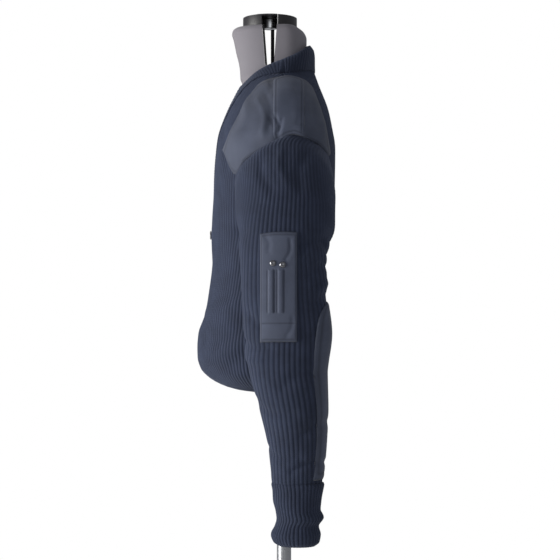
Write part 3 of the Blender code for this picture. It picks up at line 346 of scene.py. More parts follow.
def fair_curve(rows):
    """Return a reader of smooth values between the rows of a table, by its first column."""
    table = np.array(sorted(rows), float)
    keys = table[:, 0]
    values = table[:, 1:]
    slopes = np.diff(values, axis=0) / np.diff(keys)[:, None]
    product = slopes[:-1] * slopes[1:]
    total = np.where(product > 0, slopes[:-1] + slopes[1:], 1.0)
    tangents = np.vstack([slopes[:1], np.where(product > 0, 2 * product / total, 0.0), slopes[-1:]])

    def read(key):
        key = np.asarray(key, float)
        i = np.clip(np.searchsorted(keys, key) - 1, 0, len(keys) - 2)
        gap = (keys[i + 1] - keys[i])[..., None]
        t = np.clip((key - keys[i])[..., None] / gap, 0.0, 1.0)
        start = values[i] * (1 + 2 * t) * (1 - t) ** 2 + tangents[i] * gap * t * (1 - t) ** 2
        end = values[i + 1] * t * t * (3 - 2 * t) + tangents[i + 1] * gap * t * t * (t - 1)
        return start + end

    return read


body_at = fair_curve(BODY)
body_power_at = fair_curve(BODY_POWER)
sleeve_at = fair_curve([(ring, *row) for ring, row in enumerate(SLEEVE)])
sleeve_pitch_at = fair_curve(SLEEVE_PITCH)
ring_of_height = fair_curve([(row[1], ring) for ring, row in enumerate(SLEEVE)])
cuff_at = fair_curve(CUFF)
back_neckline_at = fair_curve(BACK_NECKLINE)
form_neck_at = fair_curve(FORM_NECK)
form_ease_at = fair_curve(FORM_EASE)
elbow_at = fair_curve(ELBOW)

QUARTER = np.linspace(0.0, math.pi / 2, 121)
TURN = np.linspace(-math.pi, math.pi, 241)


def unit(vectors):
    """Vectors made one long."""
    return vectors / np.maximum(np.linalg.norm(vectors, axis=-1, keepdims=True), 1e-9)


def smooth_step(value, low, high):
    """A soft rise from 0 to 1 between two values."""
    t = np.clip((value - low) / (high - low), 0.0, 1.0)
    return t * t * (3 - 2 * t)


def squared_round(turn, power):
    """Cosine and sine of turns, squared off, for the outline of a soft box."""
    return [np.sign(part) * np.abs(part) ** (2 / power) for part in (np.cos(turn), np.sin(turn))]


def path_length(points):
    """Length along a path at each of its points."""
    return np.concatenate([[0.0], np.cumsum(np.linalg.norm(np.diff(points, axis=0), axis=1))])


def at_length(way, length, values):
    """Points or directions at lengths along a path."""
    return np.stack([np.interp(way, length, values[:, axis]) for axis in range(values.shape[1])], axis=-1)


def coarse(grid, rows, columns):
    """A grid thinned to so many rows and columns, its edges kept."""
    picks = [np.unique(np.round(np.linspace(0, size - 1, count)).astype(int))
             for size, count in zip(grid.shape, (rows, columns))]
    return grid[np.ix_(*picks)]


def body_lines(facing, z):
    """Half outlines of the body at heights, from the middle to the side, with lengths."""
    z = np.atleast_1d(np.asarray(z, float))
    half_width, front, back, side = (column[:, None] for column in body_at(z).T)
    power = 2.0 / body_power_at(z)
    reach = (side - front) if facing < 0 else (back - side)
    x = half_width * np.sin(QUARTER)[None, :] ** power
    y = side + facing * reach * np.cos(QUARTER)[None, :] ** power
    steps = np.hypot(np.diff(x, axis=1), np.diff(y, axis=1))
    return x, y, np.concatenate([np.zeros((len(z), 1)), np.cumsum(steps, axis=1)], axis=1)


def read_rows(key, keys, *columns):
    """Read columns at a key in each row, where keys rise along the row."""
    k = np.clip((keys < key[:, None]).sum(axis=1), 1, keys.shape[1] - 1)
    row = np.arange(len(key))
    low = keys[row, k - 1]
    t = np.clip((key - low) / np.maximum(keys[row, k] - low, 1e-9), 0.0, 1.0)
    return [column[row, k - 1] * (1 - t) + column[row, k] * t for column in columns]


def on_body(facing, s, z):
    """Points of the body's outer form at lengths s round it and at heights z."""
    s, z = np.broadcast_arrays(np.asarray(s, float), np.asarray(z, float))
    shape = s.shape
    s = s.ravel()
    z = z.ravel()
    points = np.empty((len(s), 3))
    chunk = 20000
    for start in range(0, len(s), chunk):
        part = slice(start, start + chunk)
        xs, ys, length = body_lines(facing, z[part])
        x, y = read_rows(np.abs(s[part]), length, xs, ys)
        points[part, 0] = np.where(s[part] < 0, -x, x)
        points[part, 1] = y
    points[:, 2] = z
    return points.reshape(*shape, 3)


SIDE_HEIGHTS = np.arange(BODY[0][0], BODY[-1][0] + 0.5, 1.0)
SIDE_LENGTHS = {facing: body_lines(facing, SIDE_HEIGHTS)[2][:, -1] for facing in (-1, 1)}


def side_length(facing, z):
    """Length round the body from the middle of a panel to the side line."""
    return np.interp(z, SIDE_HEIGHTS, SIDE_LENGTHS[facing])


def off_body(facing, s, z, out):
    """Points of the body's form moved out along its normal."""
    s, z = np.broadcast_arrays(np.asarray(s, float), np.asarray(z, float))
    limit = side_length(facing, z)
    s = np.clip(s, -limit, limit)
    share = s / limit
    # The slope is read a small step to each side, and above and below
    across = on_body(facing, np.minimum(s + 1.5, limit), z) - on_body(facing, np.maximum(s - 1.5, -limit), z)
    straight = np.stack([0 * s, -facing * np.sign(s), 0 * s], axis=-1)
    across = np.where((np.abs(share) > 0.999)[..., None], straight, across)
    above, below = (on_body(facing, share * side_length(facing, level), level)
                    for level in (np.minimum(z + 1.0, BODY[-1][0]), np.maximum(z - 1.0, BODY[0][0])))
    normal = unit(np.cross(across, above - below) * -facing)
    return on_body(facing, s, z) + np.asarray(out, float)[..., None] * normal


def off_side_view(y, z, out):
    """Points on the wearer's left seen at y and z from the side, moved out."""
    y, z, out = np.broadcast_arrays(np.asarray(y, float), np.asarray(z, float), np.asarray(out, float))
    result = np.empty((*y.shape, 3))
    side = body_at(z)[..., 3]
    for facing, near in ((-1, y < side), (1, y >= side)):
        if near.any():
            _, ys, length = body_lines(facing, z[near])
            s = read_rows(-facing * y[near], -facing * ys, length)[0]
            result[near] = off_body(facing, s, z[near], out[near])
    return result


def front_at(x, z, out):
    """Points of the front at x and z, moved out."""
    x, z, out = np.broadcast_arrays(np.asarray(x, float), np.asarray(z, float), np.asarray(out, float))
    xs, _, length = body_lines(-1, z.ravel())
    s = read_rows(np.abs(x).ravel(), xs, length)[0].reshape(x.shape)
    return off_body(-1, np.where(x < 0, -s, s), z, out)


def closed_spline(points, count):
    """Even samples of a closed smooth curve, count for each stretch between points."""
    points = np.array(points, float)
    t = (np.arange(count) / count)[None, :, None]
    before, start, end, after = (np.roll(points, -k, axis=0)[:, None] for k in (-1, 0, 1, 2))
    curve = 0.5 * (2 * start + (end - before) * t + (2 * before - 5 * start + 4 * end - after) * t * t
                   + (3 * start - before - 3 * end + after) * t ** 3)
    return curve.reshape(-1, points.shape[1])


ARMHOLE_LINE = closed_spline(ARMHOLE, ARMHOLE_STEPS)


def armhole_view(turn, inset):
    """Side-view points of the armhole seam, drawn in, for turns from the shoulder tip."""
    place = (np.asarray(turn) / (2 * math.pi)) % 1.0 * len(ARMHOLE_LINE)
    ring = np.vstack([ARMHOLE_LINE, ARMHOLE_LINE[:1]])
    points = at_length(place, np.arange(len(ring)), ring)
    return points - inset * unit(points - np.array(ARMHOLE_MIDDLE))


def armhole_top(y):
    """Height of the armhole seam's upper part at places from front to back."""
    top = ARMHOLE_LINE[ARMHOLE_LINE[:, 1] > ARMHOLE_MIDDLE[1]]
    order = np.argsort(top[:, 0])
    return np.interp(y, top[order, 0], top[order, 1])


SEAM_VIEW = armhole_view(TURN, -SEAM_OVERLAP)
SLEEVE_SEAM = off_side_view(SEAM_VIEW[:, 0], SEAM_VIEW[:, 1], 0.5)


def sleeve_ring(ring):
    """The sleeve's outline at a ring, with lengths from its outer line, the front positive."""
    outer_x, outer_z, inner_x, inner_z, front, back = sleeve_at(ring)
    along, aside = squared_round(TURN, SLEEVE_POWER)
    middle = np.array([(outer_x + inner_x) / 2, (front + back) / 2, (outer_z + inner_z) / 2])
    half = np.array([(outer_x - inner_x) / 2, 0.0, (outer_z - inner_z) / 2])
    points = middle + along[:, None] * half + aside[:, None] * np.array([0.0, (front - back) / 2, 0.0])
    share = 1.0 - smooth_step(ring, 0.0, 1.0)
    points = points * (1 - share) + SLEEVE_SEAM * share
    length = path_length(points)
    return points, length - length[len(TURN) // 2]


def over_sleeve(z, s, out):
    """Points over the sleeve's form at heights and lengths round it, moved out."""
    z, s, out = np.broadcast_arrays(np.asarray(z, float), np.asarray(s, float), np.asarray(out, float))
    result = np.empty((*z.shape, 3))
    for level in np.unique(np.round(z, 3)):
        here = np.abs(z - level) < 0.001
        ring = float(ring_of_height(level)[0])
        near = []  # points a small step before, on and after the ring, and to each side
        for r in (ring - 0.05, ring, ring + 0.05):
            points, length = sleeve_ring(min(max(r, 0.0), len(SLEEVE) - 1.0))
            near.append([at_length(s[here] + ds, length, points) for ds in (-2.0, 0.0, 2.0)])
        around = near[1][2] - near[1][0]
        down = near[2][1] - near[0][1]
        result[here] = near[1][1] + out[here][..., None] * unit(np.cross(around, down))
    return result


def arm_length(y, z):
    """Length round the sleeve of points on its outer face seen at y and z from the side."""
    y, z = np.broadcast_arrays(np.asarray(y, float), np.asarray(z, float))
    result = np.empty(y.shape)
    quarter = len(TURN) // 4
    middle = len(TURN) // 2
    near = slice(middle - quarter, middle + quarter + 1)
    for level in np.unique(z):
        points, length = sleeve_ring(float(ring_of_height(level)[0]))
        order = np.argsort(points[near, 1])
        here = z == level
        result[here] = np.interp(y[here], points[near, 1][order], length[near][order])
    return result


def crease_depth(table, height, length):
    """Sum of the soft creases of a table at heights and lengths."""
    total = np.zeros(np.broadcast(height, length).shape)
    for z0, s0, z1, s1, half_width, depth in table:
        run = np.array([z1 - z0, s1 - s0])
        size = np.linalg.norm(run)
        run = run / size
        along = (height - z0) * run[0] + (length - s0) * run[1]
        aside = (height - z0) * run[1] - (length - s0) * run[0]
        bow = 0.12 * size * np.sin(np.clip(along / size, 0.0, 1.0) * math.pi)
        past = np.maximum(0.0, np.maximum(-along, along - size))
        total += depth * np.exp(-(((aside - bow) / half_width) ** 2 + (past / (1.6 * half_width)) ** 2))
    return total


def rib_profile(cycles):
    """Height, from 0 to 1, across raised wales with narrow valleys between them; as a cloth's relief it also
    gives the valleys their painted shade.
    """
    return (0.5 + 0.5 * np.cos(2 * math.pi * cycles)) ** RIB_POWER


def grid_normals(grid, wrap=False):
    """Outward normals of a grid of points whose rows run up and whose columns run round."""
    if wrap:
        padded = np.concatenate([grid[:, -2:-1], grid, grid[:, 1:2]], axis=1)
        around = padded[:, 2:] - padded[:, :-2]
    else:
        around = np.gradient(grid, axis=1)
    return unit(np.cross(around, np.gradient(grid, axis=0)))


def grid_faces(index, flip=False):
    """Four-sided faces of a grid of vertex numbers."""
    quads = np.stack([index[:-1, :-1], index[:-1, 1:], index[1:, 1:], index[1:, :-1]], axis=-1).reshape(-1, 4)
    return (quads[:, ::-1] if flip else quads).tolist()


def zip_rims(dense, plain, flip):
    """Triangles between a dense edge and a plain one, both from end to end."""
    faces = []
    i = 0
    k = 0
    while i < len(dense) - 1 or k < len(plain) - 1:
        next_dense = (i + 1) / (len(dense) - 1)
        next_plain = (k + 1) / (len(plain) - 1)
        if k == len(plain) - 1 or (i < len(dense) - 1 and next_dense - 0.5 / len(dense) <= next_plain):
            face = (dense[i], dense[i + 1], plain[k])
            i += 1
        else:
            face = (dense[i], plain[k + 1], plain[k])
            k += 1
        faces.append(face[::-1] if flip else face)
    return faces


def close_mesh(mesh, near=0.01, recalculate=False):
    """Merge a mesh's double points and face it outwards; a cloth wall keeps its own two sides."""
    shape = bmesh.new()
    shape.from_mesh(mesh)
    bmesh.ops.remove_doubles(shape, verts=shape.verts[:], dist=near * MM)
    if recalculate:
        bmesh.ops.recalc_face_normals(shape, faces=shape.faces[:])
    if shape.calc_volume(signed=True) < 0:
        bmesh.ops.reverse_faces(shape, faces=shape.faces[:])
    shape.to_mesh(mesh)
    shape.free()


def finish_mesh(name, points, faces, flat, relief, material):
    """Make a mesh object from millimetre points, with its pattern map and relief attribute."""
    mesh = bpy.data.meshes.new(name)
    mesh.from_pydata((np.asarray(points) * MM).tolist(), [], faces)
    corners = np.empty(len(mesh.loops), np.int32)
    mesh.loops.foreach_get("vertex_index", corners)
    layer = mesh.uv_layers.new(name="pattern")
    layer.data.foreach_set("uv", (np.asarray(flat)[corners] * MM).astype(np.float32).ravel())
    attribute = mesh.attributes.new("relief", "FLOAT", "POINT")
    attribute.data.foreach_set("value", np.asarray(relief, np.float32))
    close_mesh(mesh)
    mesh.shade_smooth()
    mesh.materials.append(finish(material))
    piece = bpy.data.objects.new(name, mesh)
    bpy.context.scene.collection.objects.link(piece)
    return piece


def cloth_shell(name, outer, inner, pattern, relief, material, tube=False, mirror=False):
    """A closed wall of cloth between a fine outer grid and a plainer inner one.

    pattern holds the cloth's own coordinates in millimetres; relief is 0 in a groove and 1 on a crest, and the
    cloth's material paints shade where it is low; the inner side gets a fixed 0.3."""
    out = np.arange(relief.size).reshape(relief.shape)
    plain = relief.size + np.arange(inner[..., 0].size).reshape(inner.shape[:2])
    points = np.concatenate([outer.reshape(-1, 3), inner.reshape(-1, 3)])
    flat = np.concatenate([pattern.reshape(-1, 2), coarse(pattern, *inner.shape[:2]).reshape(-1, 2)])
    heights = np.concatenate([relief.ravel(), np.full(plain.size, 0.3)])
    faces = grid_faces(out) + grid_faces(plain, flip=True)
    faces += zip_rims(out[0].tolist(), plain[0].tolist(), True)
    faces += zip_rims(out[-1].tolist(), plain[-1].tolist(), False)
    if not tube:
        faces += zip_rims(out[:, 0].tolist(), plain[:, 0].tolist(), False)
        faces += zip_rims(out[:, -1].tolist(), plain[:, -1].tolist(), True)
    if mirror:
        points = points * MIRROR_X
        faces = [face[::-1] for face in faces]
    return finish_mesh(name, points, faces, flat, heights, material)


def own(piece, slot, *nodes):
    """Fasten a piece to the part's one body and hide the nodes it stands for; its material slot is not used."""
    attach(piece, "root")
    if nodes:
        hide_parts(*nodes)
    return piece


def deselect():
    """Select nothing."""
    for thing in bpy.context.selected_objects:
        thing.select_set(False)


def select_only(piece):
    """Select one piece and make it the active one."""
    deselect()
    piece.select_set(True)
    bpy.context.view_layer.objects.active = piece


def complete(piece, material, slot, nodes, smooth_angle=None):
    """Shade a modelled piece, give it its finish and fasten it to the body."""
    select_only(piece)
    if smooth_angle:
        bpy.ops.object.shade_smooth_by_angle(angle=math.radians(smooth_angle))
    piece.data.materials.clear()
    piece.data.materials.append(finish(material))
    return own(piece, slot, *nodes)


def round_edges(piece, width, segments, angle=30.0):
    """Bevel a piece's edges that turn by more than an angle."""
    bevel = piece.modifiers.new("Round", "BEVEL")
    bevel.width = width * MM
    bevel.segments = segments
    bevel.limit_method = "ANGLE"
    bevel.angle_limit = math.radians(angle)
    select_only(piece)
    bpy.ops.object.modifier_apply(modifier=bevel.name)


def cut_away(piece, outline, reach):
    """Cut a bar with a side-view outline, running from left to right, out of a piece."""
    count = len(outline)
    points = [(side * reach * MM, y * MM, z * MM) for side in (-1, 1) for y, z in outline]
    faces = [tuple(range(count)), tuple(range(2 * count - 1, count - 1, -1))]
    for i in range(count):
        j = (i + 1) % count
        faces.append((i, j, j + count, i + count))
    mesh = bpy.data.meshes.new("bar")
    mesh.from_pydata(points, [], faces)
    close_mesh(mesh, recalculate=True)
    bar = bpy.data.objects.new("bar", mesh)
    bpy.context.scene.collection.objects.link(bar)
    cut = piece.modifiers.new("Cut", "BOOLEAN")
    cut.operation = "DIFFERENCE"
    cut.object = bar
    cut.solver = "MANIFOLD"
    select_only(piece)
    bpy.ops.object.modifier_apply(modifier=cut.name)
    bpy.data.objects.remove(bar, do_unlink=True)


def linear(hex_colour, alpha=1.0):
    """Turn an sRGB hex colour to linear numbers."""
    values = [int(hex_colour[i:i + 2], 16) / 255 for i in (1, 3, 5)]
    return (*(v / 12.92 if v <= 0.04045 else ((v + 0.055) / 1.055) ** 2.4 for v in values), alpha)


def times(colour, factor):
    """A colour made darker by a factor."""
    return (*(v * factor for v in colour[:3]), 1.0)


def each(size):
    """Scale of a pattern with one repeat in so many millimetres."""
    return 1.0 / (size * MM)


def plug(tree, node, sockets):
    """Fill sockets, given by name or in order, with values or with (node, output) links."""
    for key, value in sockets.items() if isinstance(sockets, dict) else enumerate(sockets):
        if isinstance(value, tuple) and isinstance(value[0], bpy.types.Node):
            tree.links.new(value[0].outputs[value[1]], node.inputs[key])
        else:
            node.inputs[key].default_value = value


def add_node(tree, kind, sockets=(), **settings):
    """Add a node with its settings and sockets."""
    made = tree.nodes.new(kind)
    for key, value in settings.items():
        setattr(made, key, value)
    plug(tree, made, sockets)
    return made


def new_material(name, sockets):
    """A Principled material, its shader, and a source of Object coordinates."""
    material = bpy.data.materials.new(name)
    material.use_nodes = True
    tree = material.node_tree
    shader = tree.nodes["Principled BSDF"]
    plug(tree, shader, sockets)
    return material, tree, shader, (add_node(tree, "ShaderNodeTexCoord"), "Object")


def knit_material(settings):
    # Worsted wool knitted in ribs: matt and slightly hairy, with painted shade in the valleys of the ribs
    material, tree, shader, place = new_material("wool_rib_knit", {
        "Roughness": 0.88, "Sheen Weight": 0.4, "Sheen Roughness": 0.45, "Specular IOR Level": 0.25,
        "IOR": 1.5, "Sheen Tint": linear("#8890a6")})
    relief = add_node(tree, "ShaderNodeAttribute", attribute_name="relief")
    crest = tuple(settings.knit_colour)
    # Painted shade: where the relief is low, in the rib valleys, the colour falls to 0.6 of the knit colour
    ribs = add_node(tree, "ShaderNodeMix", {0: (relief, "Fac"), 6: times(crest, 0.6), 7: crest},
                    data_type="RGBA")
    patches = add_node(tree, "ShaderNodeTexNoise", {"Vector": place, "Scale": each(26.32), "Detail": 3.0})
    fibre = add_node(tree, "ShaderNodeTexNoise", {"Vector": place, "Scale": each(1.111), "Detail": 2.0})
    wide = add_node(tree, "ShaderNodeMapRange", [(patches, "Fac"), 0.3, 0.7, 0.86, 1.12])
    fine = add_node(tree, "ShaderNodeMapRange", [(fibre, "Fac"), 0.3, 0.7, 0.8, 1.2])
    both = add_node(tree, "ShaderNodeMath", [(wide, 0), (fine, 0)], operation="MULTIPLY")
    tone = add_node(tree, "ShaderNodeVectorMath", {0: (ribs, 2), "Scale": (both, 0)}, operation="SCALE")
    # Stitches lean to both sides of each wale, one every 3 mm so that they show
    cloth = add_node(tree, "ShaderNodeUVMap", uv_map="pattern")
    parts = add_node(tree, "ShaderNodeSeparateXYZ", [(cloth, "UV")])
    wale = add_node(tree, "ShaderNodeMath", [(parts, "X"), 0.5 * settings.rib_pitch * MM], operation="PINGPONG")
    lean = add_node(tree, "ShaderNodeMath", [(wale, 0), 1.2, (parts, "Y")], operation="MULTIPLY_ADD")
    turns = add_node(tree, "ShaderNodeMath", [(lean, 0), 2 * math.pi * each(settings.stitch_height)],
                     operation="MULTIPLY")
    wave = add_node(tree, "ShaderNodeMath", [(turns, 0)], operation="SINE")
    bumps = add_node(tree, "ShaderNodeMath", [(fibre, "Fac"), 0.8, (wave, 0)], operation="MULTIPLY_ADD")
    bump = add_node(tree, "ShaderNodeBump", {"Height": (bumps, 0), "Strength": 0.5, "Distance": 0.45 * MM})
    plug(tree, shader, {"Base Color": (tone, 0), "Normal": (bump, 0)})
    return material


def twill_material(settings):
    # Cotton twill: smooth, close diagonal lines and a faint sheen, paler than the knit, with painted shade in
    # its seams and along its edges
    material, tree, shader, place = new_material("cotton_twill", {
        "Roughness": 0.78, "Sheen Weight": 0.15, "Sheen Roughness": 0.4, "Specular IOR Level": 0.3, "IOR": 1.5})
    cloth = add_node(tree, "ShaderNodeUVMap", uv_map="pattern")
    parts = add_node(tree, "ShaderNodeSeparateXYZ", [(cloth, "UV")])
    slant = add_node(tree, "ShaderNodeMath", [(parts, "X"), 1.6, (parts, "Y")], operation="MULTIPLY_ADD")
    turns = add_node(tree, "ShaderNodeMath", [(slant, 0), 2 * math.pi * each(settings.twill_pitch)],
                     operation="MULTIPLY")
    wave = add_node(tree, "ShaderNodeMath", [(turns, 0)], operation="SINE")
    relief = add_node(tree, "ShaderNodeAttribute", attribute_name="relief")
    patches = add_node(tree, "ShaderNodeTexNoise", {"Vector": place, "Scale": each(33.33), "Detail": 3.0})
    line = add_node(tree, "ShaderNodeMapRange", [(wave, 0), -1.0, 1.0, 0.88, 1.1])
    wide = add_node(tree, "ShaderNodeMapRange", [(patches, "Fac"), 0.3, 0.7, 0.9, 1.1])
    # Painted shade: 0.6 of the colour where the relief is 0, in the sewn grooves and along the turned edges
    seam = add_node(tree, "ShaderNodeMapRange", [(relief, "Fac"), 0.0, 1.0, 0.6, 1.0])
    both = add_node(tree, "ShaderNodeMath", [(line, 0), (wide, 0)], operation="MULTIPLY")
    shade = add_node(tree, "ShaderNodeMath", [(both, 0), (seam, 0)], operation="MULTIPLY")
    tone = add_node(tree, "ShaderNodeVectorMath", {0: tuple(settings.twill_colour[:3]), "Scale": (shade, 0)},
                    operation="SCALE")
    bump = add_node(tree, "ShaderNodeBump", {"Height": (wave, 0), "Strength": 0.35, "Distance": 0.2 * MM})
    plug(tree, shader, {"Base Color": (tone, 0), "Normal": (bump, 0)})
    return material


def thread_material(settings):
    # Polyester sewing thread: a little brighter and smoother than the cloth it lies on
    material, tree, shader, place = new_material("sewing_thread", {
        "Roughness": 0.55, "Specular IOR Level": 0.4})
    twist = add_node(tree, "ShaderNodeTexNoise", {"Vector": place, "Scale": each(0.667), "Detail": 1.0})
    tone = add_node(tree, "ShaderNodeMix", {0: (twist, "Fac"), 6: linear("#262b38"), 7: linear("#4a5266")},
                    data_type="RGBA")
    plug(tree, shader, {"Base Color": (tone, 2)})
    return material


def jersey_material(settings):
    # Grey jersey cover of the form: very fine, matt, almost without texture
    material, tree, shader, place = new_material("grey_jersey_cover", {
        "Roughness": 0.82, "Sheen Weight": 0.12, "Specular IOR Level": 0.3, "IOR": 1.5})
    weave = add_node(tree, "ShaderNodeTexWave", {"Vector": place, "Scale": each(3.03), "Distortion": 2.0,
                                                 "Detail": 1.0}, bands_direction="Z")
    wide = add_node(tree, "ShaderNodeTexNoise", {"Vector": place, "Scale": each(71.43), "Detail": 3.0})
    both = add_node(tree, "ShaderNodeMath", [(weave, "Fac"), 0.35, (wide, "Fac")], operation="MULTIPLY_ADD")
    colour = tuple(settings.form_colour)
    tone = add_node(tree, "ShaderNodeMix", {0: (both, 0), 6: times(colour, 0.82), 7: colour}, data_type="RGBA")
    bump = add_node(tree, "ShaderNodeBump", {"Height": (weave, "Fac"), "Strength": 0.2, "Distance": 0.2 * MM})
    plug(tree, shader, {"Base Color": (tone, 2), "Normal": (bump, 0)})
    return material


def hard_material(name, colour, metallic, roughness, spread, grain):
    """A hard finish with a fine grain in its roughness."""
    material, tree, shader, place = new_material(name, {
        "Base Color": linear(colour), "Metallic": metallic, "Roughness": roughness})
    texture = add_node(tree, "ShaderNodeTexNoise", {"Vector": place, "Scale": each(grain), "Detail": 3.0})
    rough = add_node(tree, "ShaderNodeMapRange",
                     [(texture, "Fac"), 0.3, 0.7, roughness - spread, roughness + spread])
    bump = add_node(tree, "ShaderNodeBump", {"Height": (texture, "Fac"), "Strength": 0.08,
                                             "Distance": 0.2 * MM})
    plug(tree, shader, {"Roughness": (rough, 0), "Normal": (bump, 0)})
    return material


CLOTH_FINISHES = {"knit": knit_material, "twill": twill_material, "thread": thread_material,
                  "jersey": jersey_material}
MATERIALS = {}


def finish(name):
    """The material of that name, made once."""
    if name not in MATERIALS:
        if name in HARD_FINISHES:
            MATERIALS[name] = hard_material(*HARD_FINISHES[name])
        else:
            MATERIALS[name] = CLOTH_FINISHES[name](bpy.context.scene.sweater)
    return MATERIALS[name]


def past_edge(facing, share, z):
    """Whether columns of a panel have passed its upper edge at heights."""
    s = share * side_length(facing, np.minimum(z, SHOULDER_TIP_Z))
    over_ridge = s > side_length(facing, z)
    x = on_body(facing, s, z)[..., 0]
    if facing < 0:
        return over_ridge | (x < (z - V_POINT_Z) * V_LEAN - UNDER_BAND) | (z > RIDGE_Z - 0.8)
    neck = (x < RIDGE_X) & (z > back_neckline_at(x)[..., 0] + UNDER_BAND)
    return over_ridge | neck | (z > BACK_NECKLINE[0][1] + UNDER_BAND)


def panel_tops(facing, shares):
    """Height where each column of a panel ends: the shoulder ridge or the neckline."""
    step = 3.0
    levels = np.arange(UNDERARM_Z, BODY[-1][0] + 7.0, step)
    past = past_edge(facing, shares[:, None], levels[None, :])
    high = levels[np.argmax(past, axis=1)]
    low = high - step
    for _ in range(10):
        middle = (low + high) / 2
        over = past_edge(facing, shares, middle)
        high = np.where(over, middle, high)
        low = np.where(over, low, middle)
    return low


def panel_grid(facing, shares):
    """Heights and lengths of a half panel's points, rows from the hem to its upper edge."""
    low_rows = 40
    up_rows = 68
    low = HEM_Z + (UNDERARM_Z - HEM_Z) * np.linspace(0.0, 1.0, low_rows + 1)[:-1] ** 1.35
    columns = []
    for share, top in zip(shares, panel_tops(facing, shares)):
        heights = top - (top - UNDERARM_Z) * np.linspace(1.0, 0.0, 80) ** 2
        s = share * side_length(facing, np.minimum(heights, SHOULDER_TIP_Z))
        length = path_length(on_body(facing, s, heights))
        columns.append(np.append(low, np.interp(np.linspace(0.0, length[-1], up_rows + 1), length, heights)))
    z = np.array(columns).T
    s = shares[None, :] * side_length(facing, np.minimum(z, SHOULDER_TIP_Z))
    return z, np.minimum(s, side_length(facing, z) - 0.2)


def both_halves(half, change=1.0):
    """A grid joined at its first column to its mirror image, whose values are changed."""
    return np.concatenate([half[:, ::-1][:, :-1] * change, half], axis=1)


def knit_panel(side, facing, creases):
    """A ribbed panel of the body, cut out at the armholes."""
    settings = bpy.context.scene.sweater
    ribs = settings.body_ribs
    shares = np.linspace(0.0, 1.0, ribs * RIB_COLUMNS + 1)
    z, s = panel_grid(facing, shares)
    grid = both_halves(on_body(facing, s, z), MIRROR_X)
    heights = both_halves(z)
    lengths = both_halves(s, -1.0)
    cycles = both_halves(shares[None], -1.0)[0] * ribs
    normals = grid_normals(grid) * -facing
    profile = np.broadcast_to(rib_profile(cycles), heights.shape)
    # Ribs and creases fade at the hem, and creases at the side seams, where the halves meet
    rim = smooth_step(heights, HEM_Z, HEM_Z + 9.0)
    calm = 1.0 - smooth_step(np.abs(cycles) / ribs, 0.93, 1.0)
    wander = 9.0 * np.sin(heights / 37.0) * np.sign(lengths)
    depth = 1.5 * crease_depth(creases, heights, np.abs(lengths) + wander)
    sway = 0.8 * np.sin(lengths / 61.0 + heights / 83.0) * calm
    out = settings.rib_rise / MM * profile * rim + depth * calm * rim + sway - SUNK * rim
    outer = grid + normals * out[..., None]
    inner = grid - normals * (KNIT_WALL + (SUNK - np.minimum(0.0, depth)) * calm * rim)[..., None]
    steps = np.linalg.norm(np.diff(grid, axis=0), axis=2)
    run = np.cumsum(np.concatenate([heights[:1] * 0, steps]), axis=0)
    pattern = np.stack([np.broadcast_to(cycles * settings.rib_pitch, heights.shape), run], axis=-1)
    grids = [outer, inner, pattern, profile]
    if facing > 0:
        grids = [grid[:, ::-1] for grid in grids]
    outer, inner, pattern, profile = grids
    piece = cloth_shell("knit_" + side, outer, coarse(inner, 40, ribs * 2 + 1), pattern, profile, "knit")
    cut_away(piece, ARMHOLE_LINE, 320.0)
    piece.select_set(False)
    return own(piece, "knit", side)


def sleeve_rings(last, rows):
    """Rings spaced evenly along the sleeve."""
    fine = np.linspace(0.0, last, 240)
    values = sleeve_at(fine)
    length = path_length((values[:, :2] + values[:, 2:4]) / 2)
    return np.interp(np.linspace(0.0, length[-1], rows), length, fine)


def sleeve_columns(rings, shares):
    """Points and lengths of the sleeve's outer form at rings and shares of the way round."""
    grid = []
    lengths = []
    for ring in rings:
        points, length = sleeve_ring(ring)
        lengths.append(np.where(shares > 0, shares * length[-1], -shares * length[0]))
        grid.append(at_length(lengths[-1], length, points))
    return np.array(grid), np.array(lengths)


def knit_sleeve(side, mirror):
    """A ribbed sleeve with the creases of a hanging arm."""
    settings = bpy.context.scene.sweater
    last = len(SLEEVE) - 1.0
    rings = np.append(sleeve_rings(last, 165), last)
    shares = np.linspace(-1.0, 1.0, 481)
    grid, lengths = sleeve_columns(rings, shares)
    grid[-1, :, 2] -= TUCKED_IN
    normals = grid_normals(grid, wrap=True)
    cycles = lengths / sleeve_pitch_at(rings)
    profile = rib_profile(cycles)
    rings = rings[:, None]
    heights = np.interp(rings, np.arange(len(SLEEVE)), [row[1] for row in SLEEVE])
    # Creases fade at the armhole, at the cuff and under the arm; small gathers run round the armhole
    head = smooth_step(rings, 0.0, 0.35)
    tail = 1.0 - smooth_step(rings, last - 0.3, last)
    calm = 1.0 - smooth_step(np.abs(shares), 0.94, 1.0)[None, :]
    sway = 0.9 * np.sin(lengths / 33.0 + heights / 41.0) * np.sin(heights / 67.0)
    soft = (crease_depth(SLEEVE_CREASES, heights, lengths) + sway) * calm * head * tail
    gather = 0.8 * np.sin(lengths / 4.6) * np.exp(-((rings - 0.25) / 0.22) ** 2)
    out = 0.75 * settings.rib_rise / MM * profile * head + soft + gather * calm * head
    out[-1] = -SLEEVE_END_SUNK
    outer = grid + normals * out[..., None]
    wall = KNIT_WALL - np.minimum(0.0, soft)
    wall[-1] += SLEEVE_END_SUNK
    inner = grid - normals * wall[..., None]
    seam = armhole_view(np.interp(lengths[0], sleeve_ring(0.0)[1], TURN), KNIT_WALL)
    inner[0] = off_side_view(seam[:, 0], seam[:, 1], -ARMHOLE_RIM_SUNK)
    run = path_length(grid[:, len(shares) // 2])
    pattern = np.stack([cycles * settings.rib_pitch, np.broadcast_to(run[:, None], cycles.shape)], axis=-1)
    piece = cloth_shell("knit_sleeve_" + side, outer, coarse(inner, 60, 121), pattern, profile, "knit",
                        tube=True, mirror=mirror)
    return own(piece, "knit", "sleeve_" + side)


